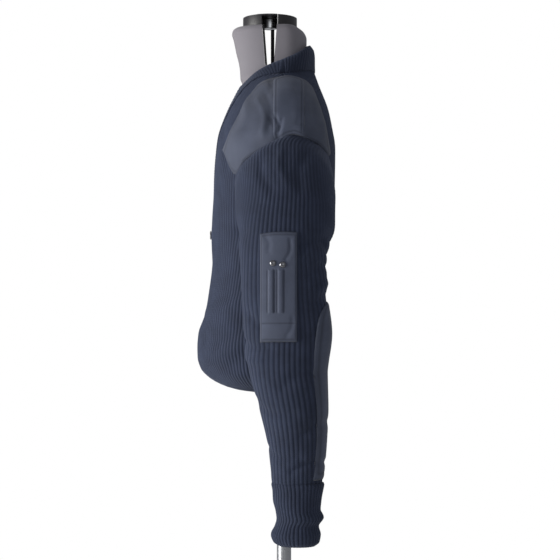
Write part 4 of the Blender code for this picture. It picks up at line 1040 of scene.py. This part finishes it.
def cuff_grid(z, turn, out):
    """Points of the cuff's form, moved out level."""
    front, back, inner_x, outer_x = (cuff_at(z)[..., k] for k in range(4))
    along, aside = squared_round(turn, SLEEVE_POWER)
    x = (outer_x + inner_x) / 2 + ((outer_x - inner_x) / 2 + out) * along
    y = (front + back) / 2 + ((back - front) / 2 + out) * aside
    return np.stack([x, y, np.broadcast_to(z, x.shape)], axis=-1)


def knit_cuff(side, mirror):
    """The turned-back cuff: ribs, a rolled edge at both ends and soft bulges between."""
    settings = bpy.context.scene.sweater
    top = CUFF[0][0]
    low = CUFF[-1][0]
    z = np.linspace(top, low, 70)[:, None]
    turn = np.linspace(0.0, 2 * math.pi, CUFF_RIBS * 8 + 1)[None, :]
    cycles = turn / (2 * math.pi) * CUFF_RIBS
    profile = np.broadcast_to(rib_profile(cycles), (z.size, turn.size))
    # Both edges roll in, and the cloth between them bulges unevenly
    roll = -2.4 * (1 - smooth_step(z, low - 1.0, low + 5.0)) - 1.5 * smooth_step(z, top - 3.5, top + 0.5)
    bulge = 0.9 * np.sin(z / 9.0 + 1.3 * np.sin(turn)) + 0.6 * np.sin(2 * turn + z / 17.0)
    outer = cuff_grid(z, turn, 0.8 * settings.rib_rise / MM * profile + roll + bulge)
    inner = cuff_grid(z[::2], turn[:, ::4], -CUFF_WALL)
    pattern = np.stack([np.broadcast_to(cycles * settings.rib_pitch, profile.shape),
                        np.broadcast_to(top - z, profile.shape)], axis=-1)
    piece = cloth_shell("knit_cuff_" + side, outer, inner, pattern, profile, "knit", tube=True, mirror=mirror)
    return own(piece, "knit", "cuff_" + side)


def band_front(way, shares, out):
    """Points of the neckband's half along the V, and the corner where its top leaves the front."""
    slope = math.atan(V_LEAN)
    along = np.array([math.sin(slope), math.cos(slope)])
    inward = np.array([-math.cos(slope), math.sin(slope)])
    seam = np.array([0.0, V_POINT_Z]) + way[:, None] * along
    top = seam + np.minimum(BAND_WIDTH, way[:, None] * V_LEAN) * inward
    flat = seam[:, None] + shares[None, :, None] * (top - seam)[:, None]
    corner = seam[-1:] + BAND_WIDTH * inward
    return (front_at(np.maximum(flat[..., 0], 0.0), flat[..., 1], out),
            front_at(corner[:, 0], corner[:, 1], 0.0)[0])


def band_back(turn, shares, out, corner):
    """Points of the neckband's half from the front, at turn 0, to the centre back, at turn 2."""
    z = RIDGE_Z - (RIDGE_Z - NECK_SIDE_Z) * (1.0 - np.minimum(turn, 1.0)) ** 2
    low = front_at(np.minimum((z - V_POINT_Z) * V_LEAN, RIDGE_X), z, 0.0)
    x = RIDGE_X * np.sin((2.0 - turn) * math.pi / 2)
    z = back_neckline_at(np.maximum(x, 0.0))[..., 0]
    xs, _, length = body_lines(1, z)
    high = off_body(1, read_rows(np.clip(x, 0.0, RIDGE_X), xs, length)[0], z, 0.0)
    seam = np.where((turn < 1.0)[:, None], low, high)
    top = fair_curve([(0.0, *corner), *BAND_TOP])(turn)
    points = seam[:, None] + shares[None, :, None] * (top - seam)[:, None]
    away = points - np.array([0.0, NECK_MIDDLE_Y, 0.0])
    away[..., 2] = 0.0
    lean = unit(top - seam)[:, None]
    normal = unit(away - lean * (away * lean).sum(axis=-1, keepdims=True))
    return points + normal * out[..., None]


def band_grid(way, shares, out):
    """Points of half the neckband, along it from the V's point and across it."""
    front = way <= way[-1] - NECK_RUN + 1e-6
    first, corner = band_front(way[front], shares, out[front])
    turn = (way[~front] - (way[-1] - NECK_RUN)) / NECK_RUN * 2.0
    return np.concatenate([first, band_back(turn, shares, out[~front], corner)])


def neckband():
    """The rib band round the V and the neck, mitred at the point."""
    settings = bpy.context.scene.sweater
    shares = np.linspace(0.0, 1.0, 13)
    way = np.linspace(0.0, (NECK_SIDE_Z - V_POINT_Z) * math.hypot(1.0, V_LEAN) + NECK_RUN, 560)
    cycles = way[:, None] / settings.band_pitch
    profile = np.broadcast_to(rib_profile(cycles), (way.size, shares.size))
    # Full between its two edges, and rolled out behind the neck
    edge = np.minimum(1.0, np.minimum(shares, 1 - shares) / 0.12) ** 0.5
    behind = smooth_step(way, way[-1] - NECK_RUN, way[-1] - 30.0)[:, None]
    roll = BAND_ROLL * behind * smooth_step(shares, 0.0, 0.75) * (1.0 - 0.45 * smooth_step(shares, 0.82, 1.0))
    outer = band_grid(way, shares, 0.9 * profile - 0.9 * (1 - edge) + 0.3 + roll)
    inner = band_grid(way, shares, np.full(profile.shape, -1.5))[:, ::4]
    inner = np.concatenate([inner[::8][:-1], inner[-1:]])
    pattern = np.stack([np.broadcast_to(cycles * settings.rib_pitch, profile.shape),
                        np.broadcast_to(shares * BAND_WIDTH, profile.shape)], axis=-1)
    for grid in (outer, inner):
        grid[-1, :, 0] = 0.0
    # The relief is held to 0.45 at most, so the whole band gets painted shade, besides the painted shade in its
    # rib valleys
    halves = [cloth_shell("neckband_" + side, outer, inner, pattern, 0.45 * profile, "knit", mirror=mirror)
              for side, mirror in SIDES]
    select_only(halves[0])
    halves[1].select_set(True)
    bpy.ops.object.join()
    halves[0].name = "knit_neckband"
    return own(halves[0], "knit", "neckband")


def open_line(points, share):
    """Points of a smooth open curve through points, evenly by length."""
    length = path_length(np.array(points))
    return fair_curve([(way / length[-1], *point) for way, point in zip(length, points)])(share)


def stitch_line(points, normals, mirror):
    """A row of sewn stitches along a path, each a small pointed bead sunk into the cloth."""
    gap = 3.0  # from one stitch to the next
    half_length = 0.34 * gap
    width = 0.5
    length = path_length(points)
    count = max(2, int(length[-1] / gap))
    middles = (np.arange(count) + 0.5) * length[-1] / count
    starts, centres, stops = (at_length(np.clip(middles + k * half_length, 0.0, length[-1]), length, points)
                              for k in (-1, 0, 1))
    up = unit(at_length(middles, length, normals))
    aside = unit(np.cross(stops - starts, up))
    beads = [starts - up * 0.2, stops - up * 0.2, centres + aside * width - up * 0.1,
             centres - aside * width - up * 0.1, centres + up * width * 0.9, centres - up * width]
    verts = np.stack(beads, axis=1).reshape(-1, 3) * (MIRROR_X if mirror else 1.0)
    bead = ((0, 2, 4), (2, 1, 4), (1, 3, 4), (3, 0, 4), (2, 0, 5), (1, 2, 5), (3, 1, 5), (0, 3, 5))
    return verts, [tuple(6 * i + k for k in face) for i in range(count) for face in bead]


def sew_on(name, outer, base, pattern, relief, thread, normals, *seams, mirror=False):
    """Make a patch of twill from its grids, with rows of stitches along its seams."""
    piece = cloth_shell("twill_" + name, outer, base, pattern, relief, "twill", mirror=mirror)
    own(piece, "twill", name)
    verts = []
    faces = []
    for seam in seams:
        points, beads = stitch_line(outer[seam], normals[seam], mirror)
        count = sum(len(v) for v in verts)
        verts.append(points)
        faces += [tuple(count + k for k in face) for face in beads]
    points = np.concatenate(verts)
    stitches = finish_mesh("thread_" + thread, points, faces, points[:, :2] * 0, points[:, 0] * 0, "thread")
    own(stitches, "twill")
    return piece


def from_edge(count):
    """Steps from the nearer end of a row of points."""
    return np.minimum(np.arange(count), np.arange(count)[::-1])


def edge_rise(shape, reach_rows, reach_columns):
    """How full a patch stands at each point: low along its turned edges."""
    r = from_edge(shape[0])[:, None] / reach_rows
    c = from_edge(shape[1])[None, :] / reach_columns
    return np.minimum(1.0, np.minimum(r, c)) ** 0.5


def seam_relief(shape, at_row, at_column):
    """A shallow sewn groove inside the edges, 0 in the groove and 1 elsewhere, and low along the outer edges
    too; the twill paints shade where it is low.
    """
    r = from_edge(shape[0])[:, None]
    c = from_edge(shape[1])[None, :]
    groove = np.minimum(np.abs(r - at_row) + (c < at_column) * 9, np.abs(c - at_column) + (r < at_row) * 9)
    return np.minimum(np.minimum(1.0, 0.1 + np.minimum(r, c) / 2.5), np.minimum(1.0, groove / 1.5))


def outward(grid):
    """Normals of a grid on the wearer's left, pointing out."""
    normals = grid_normals(grid)
    return normals * np.sign(normals[..., 0].mean())


def patch_view(rows, columns):
    """The shoulder patch as a grid of side-view points between its four edges, with u and v."""
    v = (1.0 - (1.0 - np.linspace(0.0, 1.0, rows)) ** 1.2)[:, None, None]
    u = np.linspace(0.0, 1.0, columns)[None, :, None]
    turns = np.array(PATCH_ON_ARMHOLE) * 2 * math.pi / len(ARMHOLE)
    low_edge = [PATCH_FRONT_EDGE[-1], *armhole_view(turns, -PATCH_INSET), PATCH_BACK_EDGE[-1]]
    start = open_line(PATCH_FRONT_EDGE, v[:, 0, 0])[:, None]
    end = open_line(PATCH_BACK_EDGE, v[:, 0, 0])[:, None]
    top = open_line(PATCH_NECK_EDGE, u[0, :, 0])[None]
    low = open_line(low_edge, u[0, :, 0])[None]
    corners = (1 - v) * ((1 - u) * np.array(PATCH_FRONT_EDGE[0]) + u * np.array(PATCH_BACK_EDGE[0]))
    corners = corners + v * ((1 - u) * np.array(low_edge[0]) + u * np.array(low_edge[-1]))
    return (1 - v) * top + v * low + (1 - u) * start + u * end - corners, u[..., 0], v[..., 0]


def shoulder_patch(side, mirror):
    """Woven patch over the shoulder, sewn down round its edges."""
    view, u, v = patch_view(57, 121)
    y = view[..., 0]
    z = view[..., 1]
    fullness = edge_rise(y.shape, 3.0, 4.0)
    groove = seam_relief(y.shape, 3, 4)
    pucker = 0.7 * np.sin(y / 9.0 + z / 13.0) + crease_depth(PATCH_CREASES, z, y)
    outer = off_side_view(y, z, 1.3 + (1.9 + pucker) * fullness + 0.5 * (groove - 1.0))
    base = off_side_view(y[::4, ::4], z[::4, ::4], 0.9)
    pattern = np.stack(np.broadcast_arrays(u * PATCH_CLOTH[0], v * PATCH_CLOTH[1]), axis=-1)
    # The relief is held to 0.6 at most, so the whole up-facing shoulder patch gets painted shade, besides the
    # painted shade in its seams
    return sew_on("shoulder_patch_" + side, outer, base, pattern, 0.6 * groove, "shoulder_" + side,
                  outward(outer), np.s_[3, 4:-4], np.s_[-4, 4:-4], np.s_[3:-3, 4], np.s_[3:-3, -5],
                  mirror=mirror)


def epaulette(side, mirror):
    """Twill strap along the shoulder, sewn along its edges, with a rounded end."""
    aside = np.linspace(-1.0, 1.0, 41)[None, :]
    v = np.linspace(0.0, 1.0, 90)[:, None]
    y = STRAP_MIDDLE_Y + aside * STRAP_HALF
    top = STRAP_TIP_Z - STRAP_ROUND * np.abs(aside) ** 2.2
    z = top + v * (armhole_top(y) + PATCH_INSET + 0.3 - top)
    y = np.broadcast_to(y, z.shape)
    fullness = edge_rise(z.shape, 2.5, 2.5)
    groove = seam_relief(z.shape, 4, 4)
    sag = 1.1 * np.sin(v * 7.0 + aside * 1.4) * np.sin(v * math.pi)
    # The strap lies over the patch and comes down to the armhole seam at its end
    lift = 3.9 - 2.4 * smooth_step(v, 0.86, 1.0)
    out = lift + (1.1 + sag) * fullness + 0.5 * (groove - 1.0) + 1.2 * (1 - aside ** 4)
    outer = off_side_view(y, z, out + crease_depth(STRAP_CREASES, z, y))
    base = off_side_view(y[::3, ::4], z[::3, ::4], lift[::3] - 0.6)
    pattern = np.stack([y - STRAP_MIDDLE_Y, z], axis=-1)
    return sew_on("epaulette_" + side, outer, base, pattern, groove, "epaulette_" + side,
                  outward(outer), np.s_[4:-2, 4], np.s_[4:-2, -5], np.s_[4, 4:-4], mirror=mirror)


def elbow_patch(side, mirror):
    """Twill patch along the back of the forearm."""
    share = np.linspace(0.0, 1.0, 31)[None, :]
    z = np.linspace(ELBOW[0][0], ELBOW[-1][0], 110)[:, None] + 0 * share
    edges = elbow_at(z)
    s = -(edges[..., 0] + (edges[..., 1] - edges[..., 0]) * share)
    groove = seam_relief(z.shape, 4, 3)
    crease = crease_depth(SLEEVE_CREASES, z, s) * 0.8
    outer = over_sleeve(z, s, 2.0 + 1.2 * edge_rise(z.shape, 3.0, 2.5) + 0.4 * (groove - 1.0) + crease)
    base = over_sleeve(z, s, 1.2 + np.minimum(0.0, crease))
    return sew_on("elbow_patch_" + side, outer, base[::4, ::5], np.stack([s, z], axis=-1), groove,
                  "elbow_" + side, outer - base, np.s_[4:-4, 3], np.s_[4:-4, -4], np.s_[4, 3:-3],
                  mirror=mirror)


def channel_form(y, z):
    """The pocket's two pen channels: how far they are raised, and the seams beside them, which sink a little
    and get painted shade in the twill.
    """
    rise = np.zeros(z.shape)
    seam = np.ones(z.shape)
    inside = (z > CHANNEL_Z[0]) & (z < CHANNEL_Z[1])
    for at in CHANNELS_Y:
        rise = np.maximum(rise, CHANNEL_RISE * np.clip(1 - (np.abs(y - at) / CHANNEL_HALF) ** 3, 0.0, 1.0))
        near = np.minimum(1.0, np.abs(np.abs(y - at) - CHANNEL_HALF - 0.6) / 1.2)
        seam = np.where(inside, np.minimum(seam, near), seam)
    low, high = CHANNEL_Z
    return rise * smooth_step(z, low - 2, low + 2) * (1 - smooth_step(z, high - 2, high + 2)), seam


def pen_pocket():
    """Twill pocket with two pen channels, its seams and its stitches."""
    z, y = np.meshgrid(np.linspace(POCKET_Z[1], POCKET_Z[0], 130), np.linspace(*POCKET_Y, 71), indexing="ij")
    s = arm_length(y, z)
    fullness = edge_rise(z.shape, 3.0, 3.0)
    rise, side_seam = channel_form(y, z)
    cross_seam = np.minimum(1.0, np.abs(z - POCKET_SEAM_Z) / 1.6)
    # The seams across the pocket and beside the channels sink a little and get painted shade, as the edges do
    groove = np.minimum(seam_relief(z.shape, 3, 3), np.minimum(cross_seam, side_seam))
    crease = crease_depth(POCKET_CREASES, z, y)
    outer = over_sleeve(z, s, 2.2 + (1.2 + crease) * fullness + 0.5 * (groove - 1.0) + rise)
    base = over_sleeve(z, s, 1.3)
    return sew_on("pen_pocket", outer, base[::4, ::5], np.stack([y, z], axis=-1), groove, "pocket",
                  outer - base, np.s_[3:-3, 3], np.s_[3:-3, -4], np.s_[3, 3:-3], np.s_[-4, 3:-3])


def turned_piece(name, nodes, material, slot, segments, seat, profile, axis=(0.0, 0.0, 1.0)):
    """A turned piece: an edge profile of radius and height spun round, seated on a surface."""
    deselect()
    bpy.ops.mesh.primitive_circle_add(vertices=segments, radius=profile[0][0] * MM, fill_type="NGON")
    piece = bpy.context.object
    piece.name = name
    bpy.ops.object.mode_set(mode="EDIT")
    for (radius, height), (past_radius, past_height) in zip(profile[1:], profile[:-1]):
        bpy.ops.mesh.extrude_region_move(TRANSFORM_OT_translate={"value": (0, 0, (height - past_height) * MM)})
        if radius != past_radius:
            ratio = radius / past_radius
            bpy.ops.transform.resize(value=(ratio, ratio, 1.0), center_override=(0, 0, height * MM))
    bpy.ops.object.mode_set(mode="OBJECT")
    close_mesh(piece.data, near=0.001, recalculate=True)
    turn = Vector((0, 0, 1)).rotation_difference(Vector(axis)).to_matrix().to_4x4()
    piece.data.transform(Matrix.Translation(Vector(seat) * MM) @ turn)
    return complete(piece, material, slot, nodes, 32)


def form_grid(z, turn):
    """Points of the dress form's outer surface."""
    z, turn = np.broadcast_arrays(z, turn)
    result = np.empty((*z.shape, 3))
    low = z < FORM_NECK[0][0]
    for facing in (-1, 1):
        here = low & ((np.cos(turn) > 0) == (facing < 0))
        quarter = np.arcsin(np.clip(np.abs(np.sin(turn[here])), 0.0, 1.0))
        s = side_length(facing, z[here]) * quarter / (math.pi / 2) * np.sign(np.sin(turn[here]))
        result[here] = off_body(facing, s, z[here], -form_ease_at(z[here])[..., 0])
    high = ~low
    half_width, front, back = (form_neck_at(z[high])[..., k] for k in range(3))
    ahead, across = squared_round(turn[high], NECK_POWER)
    reach = np.where(ahead > 0, -front, back)
    result[high] = np.stack([half_width * across, -reach * ahead, z[high]], axis=-1)
    return result


def dress_form():
    """The form's torso and neck, slotted through the neck."""
    neck_z = FORM_NECK[0][0]
    heights = np.append(np.linspace(FORM_EASE[0][0], neck_z - 2.0, 90), np.linspace(neck_z, FORM_TOP_Z, 60))
    columns = 128
    turn = np.linspace(0.0, 2 * math.pi, columns + 1)[:-1]
    grid = form_grid(heights[:, None], turn[None, :])
    neck = form_grid(np.array([[neck_z]]), turn[None, :])
    low = heights < neck_z
    # The shoulders run up into the neck
    blend = smooth_step(heights[low], 1350.0, neck_z + 1.0)[:, None, None]
    grid[low, :, :2] = grid[low, :, :2] * (1 - blend) + neck[..., :2] * blend
    # The underside is a little smaller than the first ring, as a rounded edge
    bottom = grid[0] * np.array([0.94, 0.94, 0.0]) + np.array([0.0, 0.0, FORM_BOTTOM_Z])
    grid = np.concatenate([bottom[None], grid])
    index = np.arange(len(grid) * columns).reshape(len(grid), columns)
    faces = grid_faces(np.concatenate([index, index[:, :1]], axis=1))
    faces += [index[0].tolist(), index[-1][::-1].tolist()]
    points = grid.reshape(-1, 3)
    piece = finish_mesh("form_torso", points, faces, points[:, :2], np.ones(len(points)), "jersey")
    close_mesh(piece.data, recalculate=True)
    cut_away(piece, SLOT, 90.0)
    return complete(piece, "jersey", "linen", ["form_body"], 40)


def neck_cap(name, nodes, front_y, back_y, height, top):
    """Part of the flat cap on the neck, between two planes across the form."""
    deselect()
    middle = (0.0, CAP_MIDDLE_Y * MM, (top - height / 2) * MM)
    bpy.ops.mesh.primitive_cylinder_add(vertices=96, radius=1.0, depth=height * MM, location=middle)
    piece = bpy.context.object
    piece.name = name
    bpy.ops.object.mode_set(mode="EDIT")
    bpy.ops.mesh.select_all(action="SELECT")
    bpy.ops.transform.resize(value=(CAP_HALVES[0] * MM, CAP_HALVES[1] * MM, 1.0), center_override=middle)
    for y, clear in ((front_y, {"clear_inner": True}), (back_y, {"clear_outer": True})):
        bpy.ops.mesh.select_all(action="SELECT")
        bpy.ops.mesh.bisect(plane_co=(0, y * MM, 0), plane_no=(0, 1, 0), use_fill=True, **clear)
    bpy.ops.object.mode_set(mode="OBJECT")
    bpy.ops.object.transform_apply(location=True, rotation=True, scale=True)
    round_edges(piece, min(CAP_ROUND, height * 0.3), 4, 50.0)
    return complete(piece, "cap", "cap", nodes, 35)


def slot_shade_board():
    """A dark board along the front wall of the neck's slot, standing for the shade in that wall as painted
    shade; it closes the front half of the neck along the slot.
    """
    deselect()
    middle = tuple(v * MM for v in BOARD_MIDDLE)
    bpy.ops.mesh.primitive_cube_add(size=1.0, location=middle)
    piece = bpy.context.object
    piece.name = "neck_board"
    bpy.ops.object.mode_set(mode="EDIT")
    bpy.ops.mesh.select_all(action="SELECT")
    bpy.ops.transform.resize(value=[v * MM for v in BOARD_SIZE], center_override=middle)
    bpy.ops.transform.rotate(value=math.radians(BOARD_TILT), orient_axis="X", center_override=middle)
    bpy.ops.object.mode_set(mode="OBJECT")
    bpy.ops.object.transform_apply(location=True, rotation=True, scale=True)
    round_edges(piece, 0.8, 3)
    return complete(piece, "rod", "cap", [])


def set_floor():
    """A pale, matt floor. A pale floor, and soft light from all round that the camera
    sees as white.
    """
    deselect()
    bpy.ops.mesh.primitive_circle_add(vertices=96, radius=2.3, fill_type="NGON", location=(0, 0, 0))
    floor = bpy.context.object
    floor.name = "studio_floor"
    # Painted board: plain, pale and matt
    material, tree, shader, place = new_material("pale_painted_board", {"Roughness": 0.7})
    texture = add_node(tree, "ShaderNodeTexNoise", {"Vector": place, "Scale": each(200.0), "Detail": 3.0})
    tone = add_node(tree, "ShaderNodeMix", {0: (texture, "Fac"), 6: linear("#d8d8d6"), 7: linear("#e2e1de")},
                    data_type="RGBA")
    plug(tree, shader, {"Base Color": (tone, 2)})
    floor.data.materials.append(material)


def set_light(settings):
    """Soft studio light from the front left and from all round."""
    world = bpy.data.worlds.new("studio")
    world.use_nodes = True
    bpy.context.scene.world = world
    tree = world.node_tree
    path = add_node(tree, "ShaderNodeLightPath")
    soft = add_node(tree, "ShaderNodeBackground", [(0.93, 0.95, 1.0, 1.0), settings.fill_light])
    white = add_node(tree, "ShaderNodeBackground", [(1.0, 1.0, 1.0, 1.0), 1.0])
    both = add_node(tree, "ShaderNodeMixShader", [(path, "Is Camera Ray"), (soft, 0), (white, 0)])
    plug(tree, tree.nodes["World Output"], {"Surface": (both, 0)})
    for name, place, target, size, power, colour in LIGHTS:
        data = bpy.data.lights.new(name, "AREA")
        data.size = size
        data.energy = getattr(settings, power)
        data.color = colour
        lamp = bpy.data.objects.new(name, data)
        lamp.location = place
        lamp.rotation_euler = (Vector(target) - Vector(place)).to_track_quat("-Z", "Y").to_euler()
        bpy.context.scene.collection.objects.link(lamp)
        lamp.visible_camera = False


def set_camera():
    """The photograph's camera, level and looking at the wearer's left side."""
    data = bpy.data.cameras.new("camera")
    data.sensor_width = SENSOR_MM
    data.lens = SENSOR_MM * CAMERA_FOCAL_PX / PHOTO_PX
    camera = bpy.data.objects.new("camera", data)
    camera.location = Vector(CAMERA_MM) * MM
    camera.rotation_euler = Vector((-1.0, 0.0, 0.0)).to_track_quat("-Z", "Y").to_euler()
    bpy.context.scene.collection.objects.link(camera)
    bpy.context.scene.camera = camera
    bpy.context.scene.view_settings.view_transform = "Standard"


class SweaterSettings(bpy.types.PropertyGroup):
    """Sizes, colours and lights that a user would change"""
    rib_pitch: bpy.props.FloatProperty(
        name="Rib pitch", description="Distance between ribs of the body, in millimetres", default=7.3)
    band_pitch: bpy.props.FloatProperty(
        name="Band rib pitch", description="Distance between ribs of the neckband, in millimetres", default=4.8)
    rib_rise: bpy.props.FloatProperty(
        name="Rib height", description="Height of the ribs", default=0.0013, unit="LENGTH")
    body_ribs: bpy.props.IntProperty(
        name="Ribs of half a panel", description="Ribs from the middle of a panel to its side seam", default=40)
    stitch_height: bpy.props.FloatProperty(
        name="Stitch height", description="Height of a knitted stitch, in millimetres", default=3.0)
    twill_pitch: bpy.props.FloatProperty(
        name="Twill pitch", description="Distance between the twill's lines, in millimetres", default=2.4)
    knit_colour: bpy.props.FloatVectorProperty(
        name="Knit colour", description="Colour of the knitted wool", size=4, subtype="COLOR",
        default=linear("#2d3447"), min=0.0, max=1.0)
    twill_colour: bpy.props.FloatVectorProperty(
        name="Twill colour", description="Colour of the woven patches", size=4, subtype="COLOR",
        default=linear("#494f60"), min=0.0, max=1.0)
    form_colour: bpy.props.FloatVectorProperty(
        name="Form colour", description="Colour of the dress form's cover", size=4, subtype="COLOR",
        default=linear("#7a777d"), min=0.0, max=1.0)
    key_light: bpy.props.FloatProperty(
        name="Window light", description="Power of the large soft light", default=140.0, subtype="POWER")
    side_light: bpy.props.FloatProperty(
        name="Side fill", description="Power of the weak fill light", default=6.0, subtype="POWER")
    fill_light: bpy.props.FloatProperty(
        name="Room light", description="Strength of the light from all round", default=0.34)


class SWEATER_OT_stage(bpy.types.Operator):
    """Set the floor, the lights and the camera"""
    bl_idname = "sweater.stage"
    bl_label = "Studio and camera"

    def execute(self, context):
        set_floor()
        set_light(context.scene.sweater)
        set_camera()
        return {"FINISHED"}


class SWEATER_OT_form(bpy.types.Operator):
    """Build the dress form, its neck fittings and its stand"""
    bl_idname = "sweater.form"
    bl_label = "Dress form and stand"

    def execute(self, context):
        dress_form()
        for part in CAPS:
            neck_cap(*part)
        slot_shade_board()
        for name, node, material, slot, segments, seat, profile in FITTINGS:
            turned_piece(name, [node], material, slot, segments, seat, profile)
        return {"FINISHED"}


class SWEATER_OT_body(bpy.types.Operator):
    """Knit the front and the back"""
    bl_idname = "sweater.body"
    bl_label = "Front and back"

    def execute(self, context):
        knit_panel("front", -1, FRONT_CREASES)
        knit_panel("back", 1, BACK_CREASES)
        return {"FINISHED"}


class SWEATER_OT_sleeves(bpy.types.Operator):
    """Knit the sleeves and their turned-back cuffs"""
    bl_idname = "sweater.sleeves"
    bl_label = "Sleeves and cuffs"

    def execute(self, context):
        for side, mirror in SIDES:
            sleeve = knit_sleeve(side, mirror)
            cuff = knit_cuff(side, mirror)
        return {"FINISHED"}


class SWEATER_OT_neckband(bpy.types.Operator):
    """Knit the neckband"""
    bl_idname = "sweater.neckband"
    bl_label = "Neckband"

    def execute(self, context):
        neckband()
        return {"FINISHED"}


class SWEATER_OT_patches(bpy.types.Operator):
    """Sew on the shoulder patches, straps and elbow patches"""
    bl_idname = "sweater.patches"
    bl_label = "Patches and straps"

    def execute(self, context):
        for side, mirror in SIDES:
            patch = shoulder_patch(side, mirror)
            epaulette(side, mirror)
            elbow_patch(side, mirror)
        return {"FINISHED"}


class SWEATER_OT_pocket(bpy.types.Operator):
    """Sew on the pen pocket and set its rivets and the chest stud"""
    bl_idname = "sweater.pocket"
    bl_label = "Pocket, rivets and stud"

    def execute(self, context):
        pen_pocket()
        for number, (y, z) in enumerate(RIVETS, 1):
            s = arm_length(y, z)
            low, seat, high = (over_sleeve(z, s, out).reshape(3) for out in (0.0, 3.6, 10.0))
            turned_piece(f"rivet_{number}", [f"pocket_rivet_{number}"], "nickel", "chrome", 32,
                         seat.tolist(), DOME, (high - low).tolist())
        low, seat, high = (off_body(-1, 0.0, STUD_Z, out).reshape(3) for out in (0.0, 1.4, 10.0))
        turned_piece("press_stud", ["chest_stud"], "nickel", "chrome", 48, seat.tolist(), STUD,
                     (high - low).tolist())
        return {"FINISHED"}


STEPS = (SWEATER_OT_stage, SWEATER_OT_form, SWEATER_OT_body, SWEATER_OT_sleeves, SWEATER_OT_neckband,
         SWEATER_OT_patches, SWEATER_OT_pocket)


class SWEATER_PT_panel(bpy.types.Panel):
    """Sizes, colours and steps of the sweater"""
    bl_idname = "SWEATER_PT_panel"
    bl_label = "Sweater"
    bl_space_type = "VIEW_3D"
    bl_region_type = "UI"
    bl_category = "Sweater"

    def draw(self, context):
        for name in SweaterSettings.__annotations__:
            self.layout.prop(context.scene.sweater, name)
        for step in STEPS:
            self.layout.operator(step.bl_idname)


CLASSES = (SweaterSettings, *STEPS, SWEATER_PT_panel)


def register():
    """Register the add-on's classes and its settings."""
    for cls in CLASSES:
        bpy.utils.register_class(cls)
    bpy.types.Scene.sweater = bpy.props.PointerProperty(type=SweaterSettings)


def unregister():
    """Take the settings and classes out again."""
    del bpy.types.Scene.sweater
    for cls in reversed(CLASSES):
        bpy.utils.unregister_class(cls)


def main():
    """Build everything."""
    register()
    bpy.ops.sweater.stage()
    bpy.ops.sweater.form()
    bpy.ops.sweater.body()
    bpy.ops.sweater.sleeves()
    bpy.ops.sweater.neckband()
    bpy.ops.sweater.patches()
    bpy.ops.sweater.pocket()


if __name__ == "__main__":
    main()
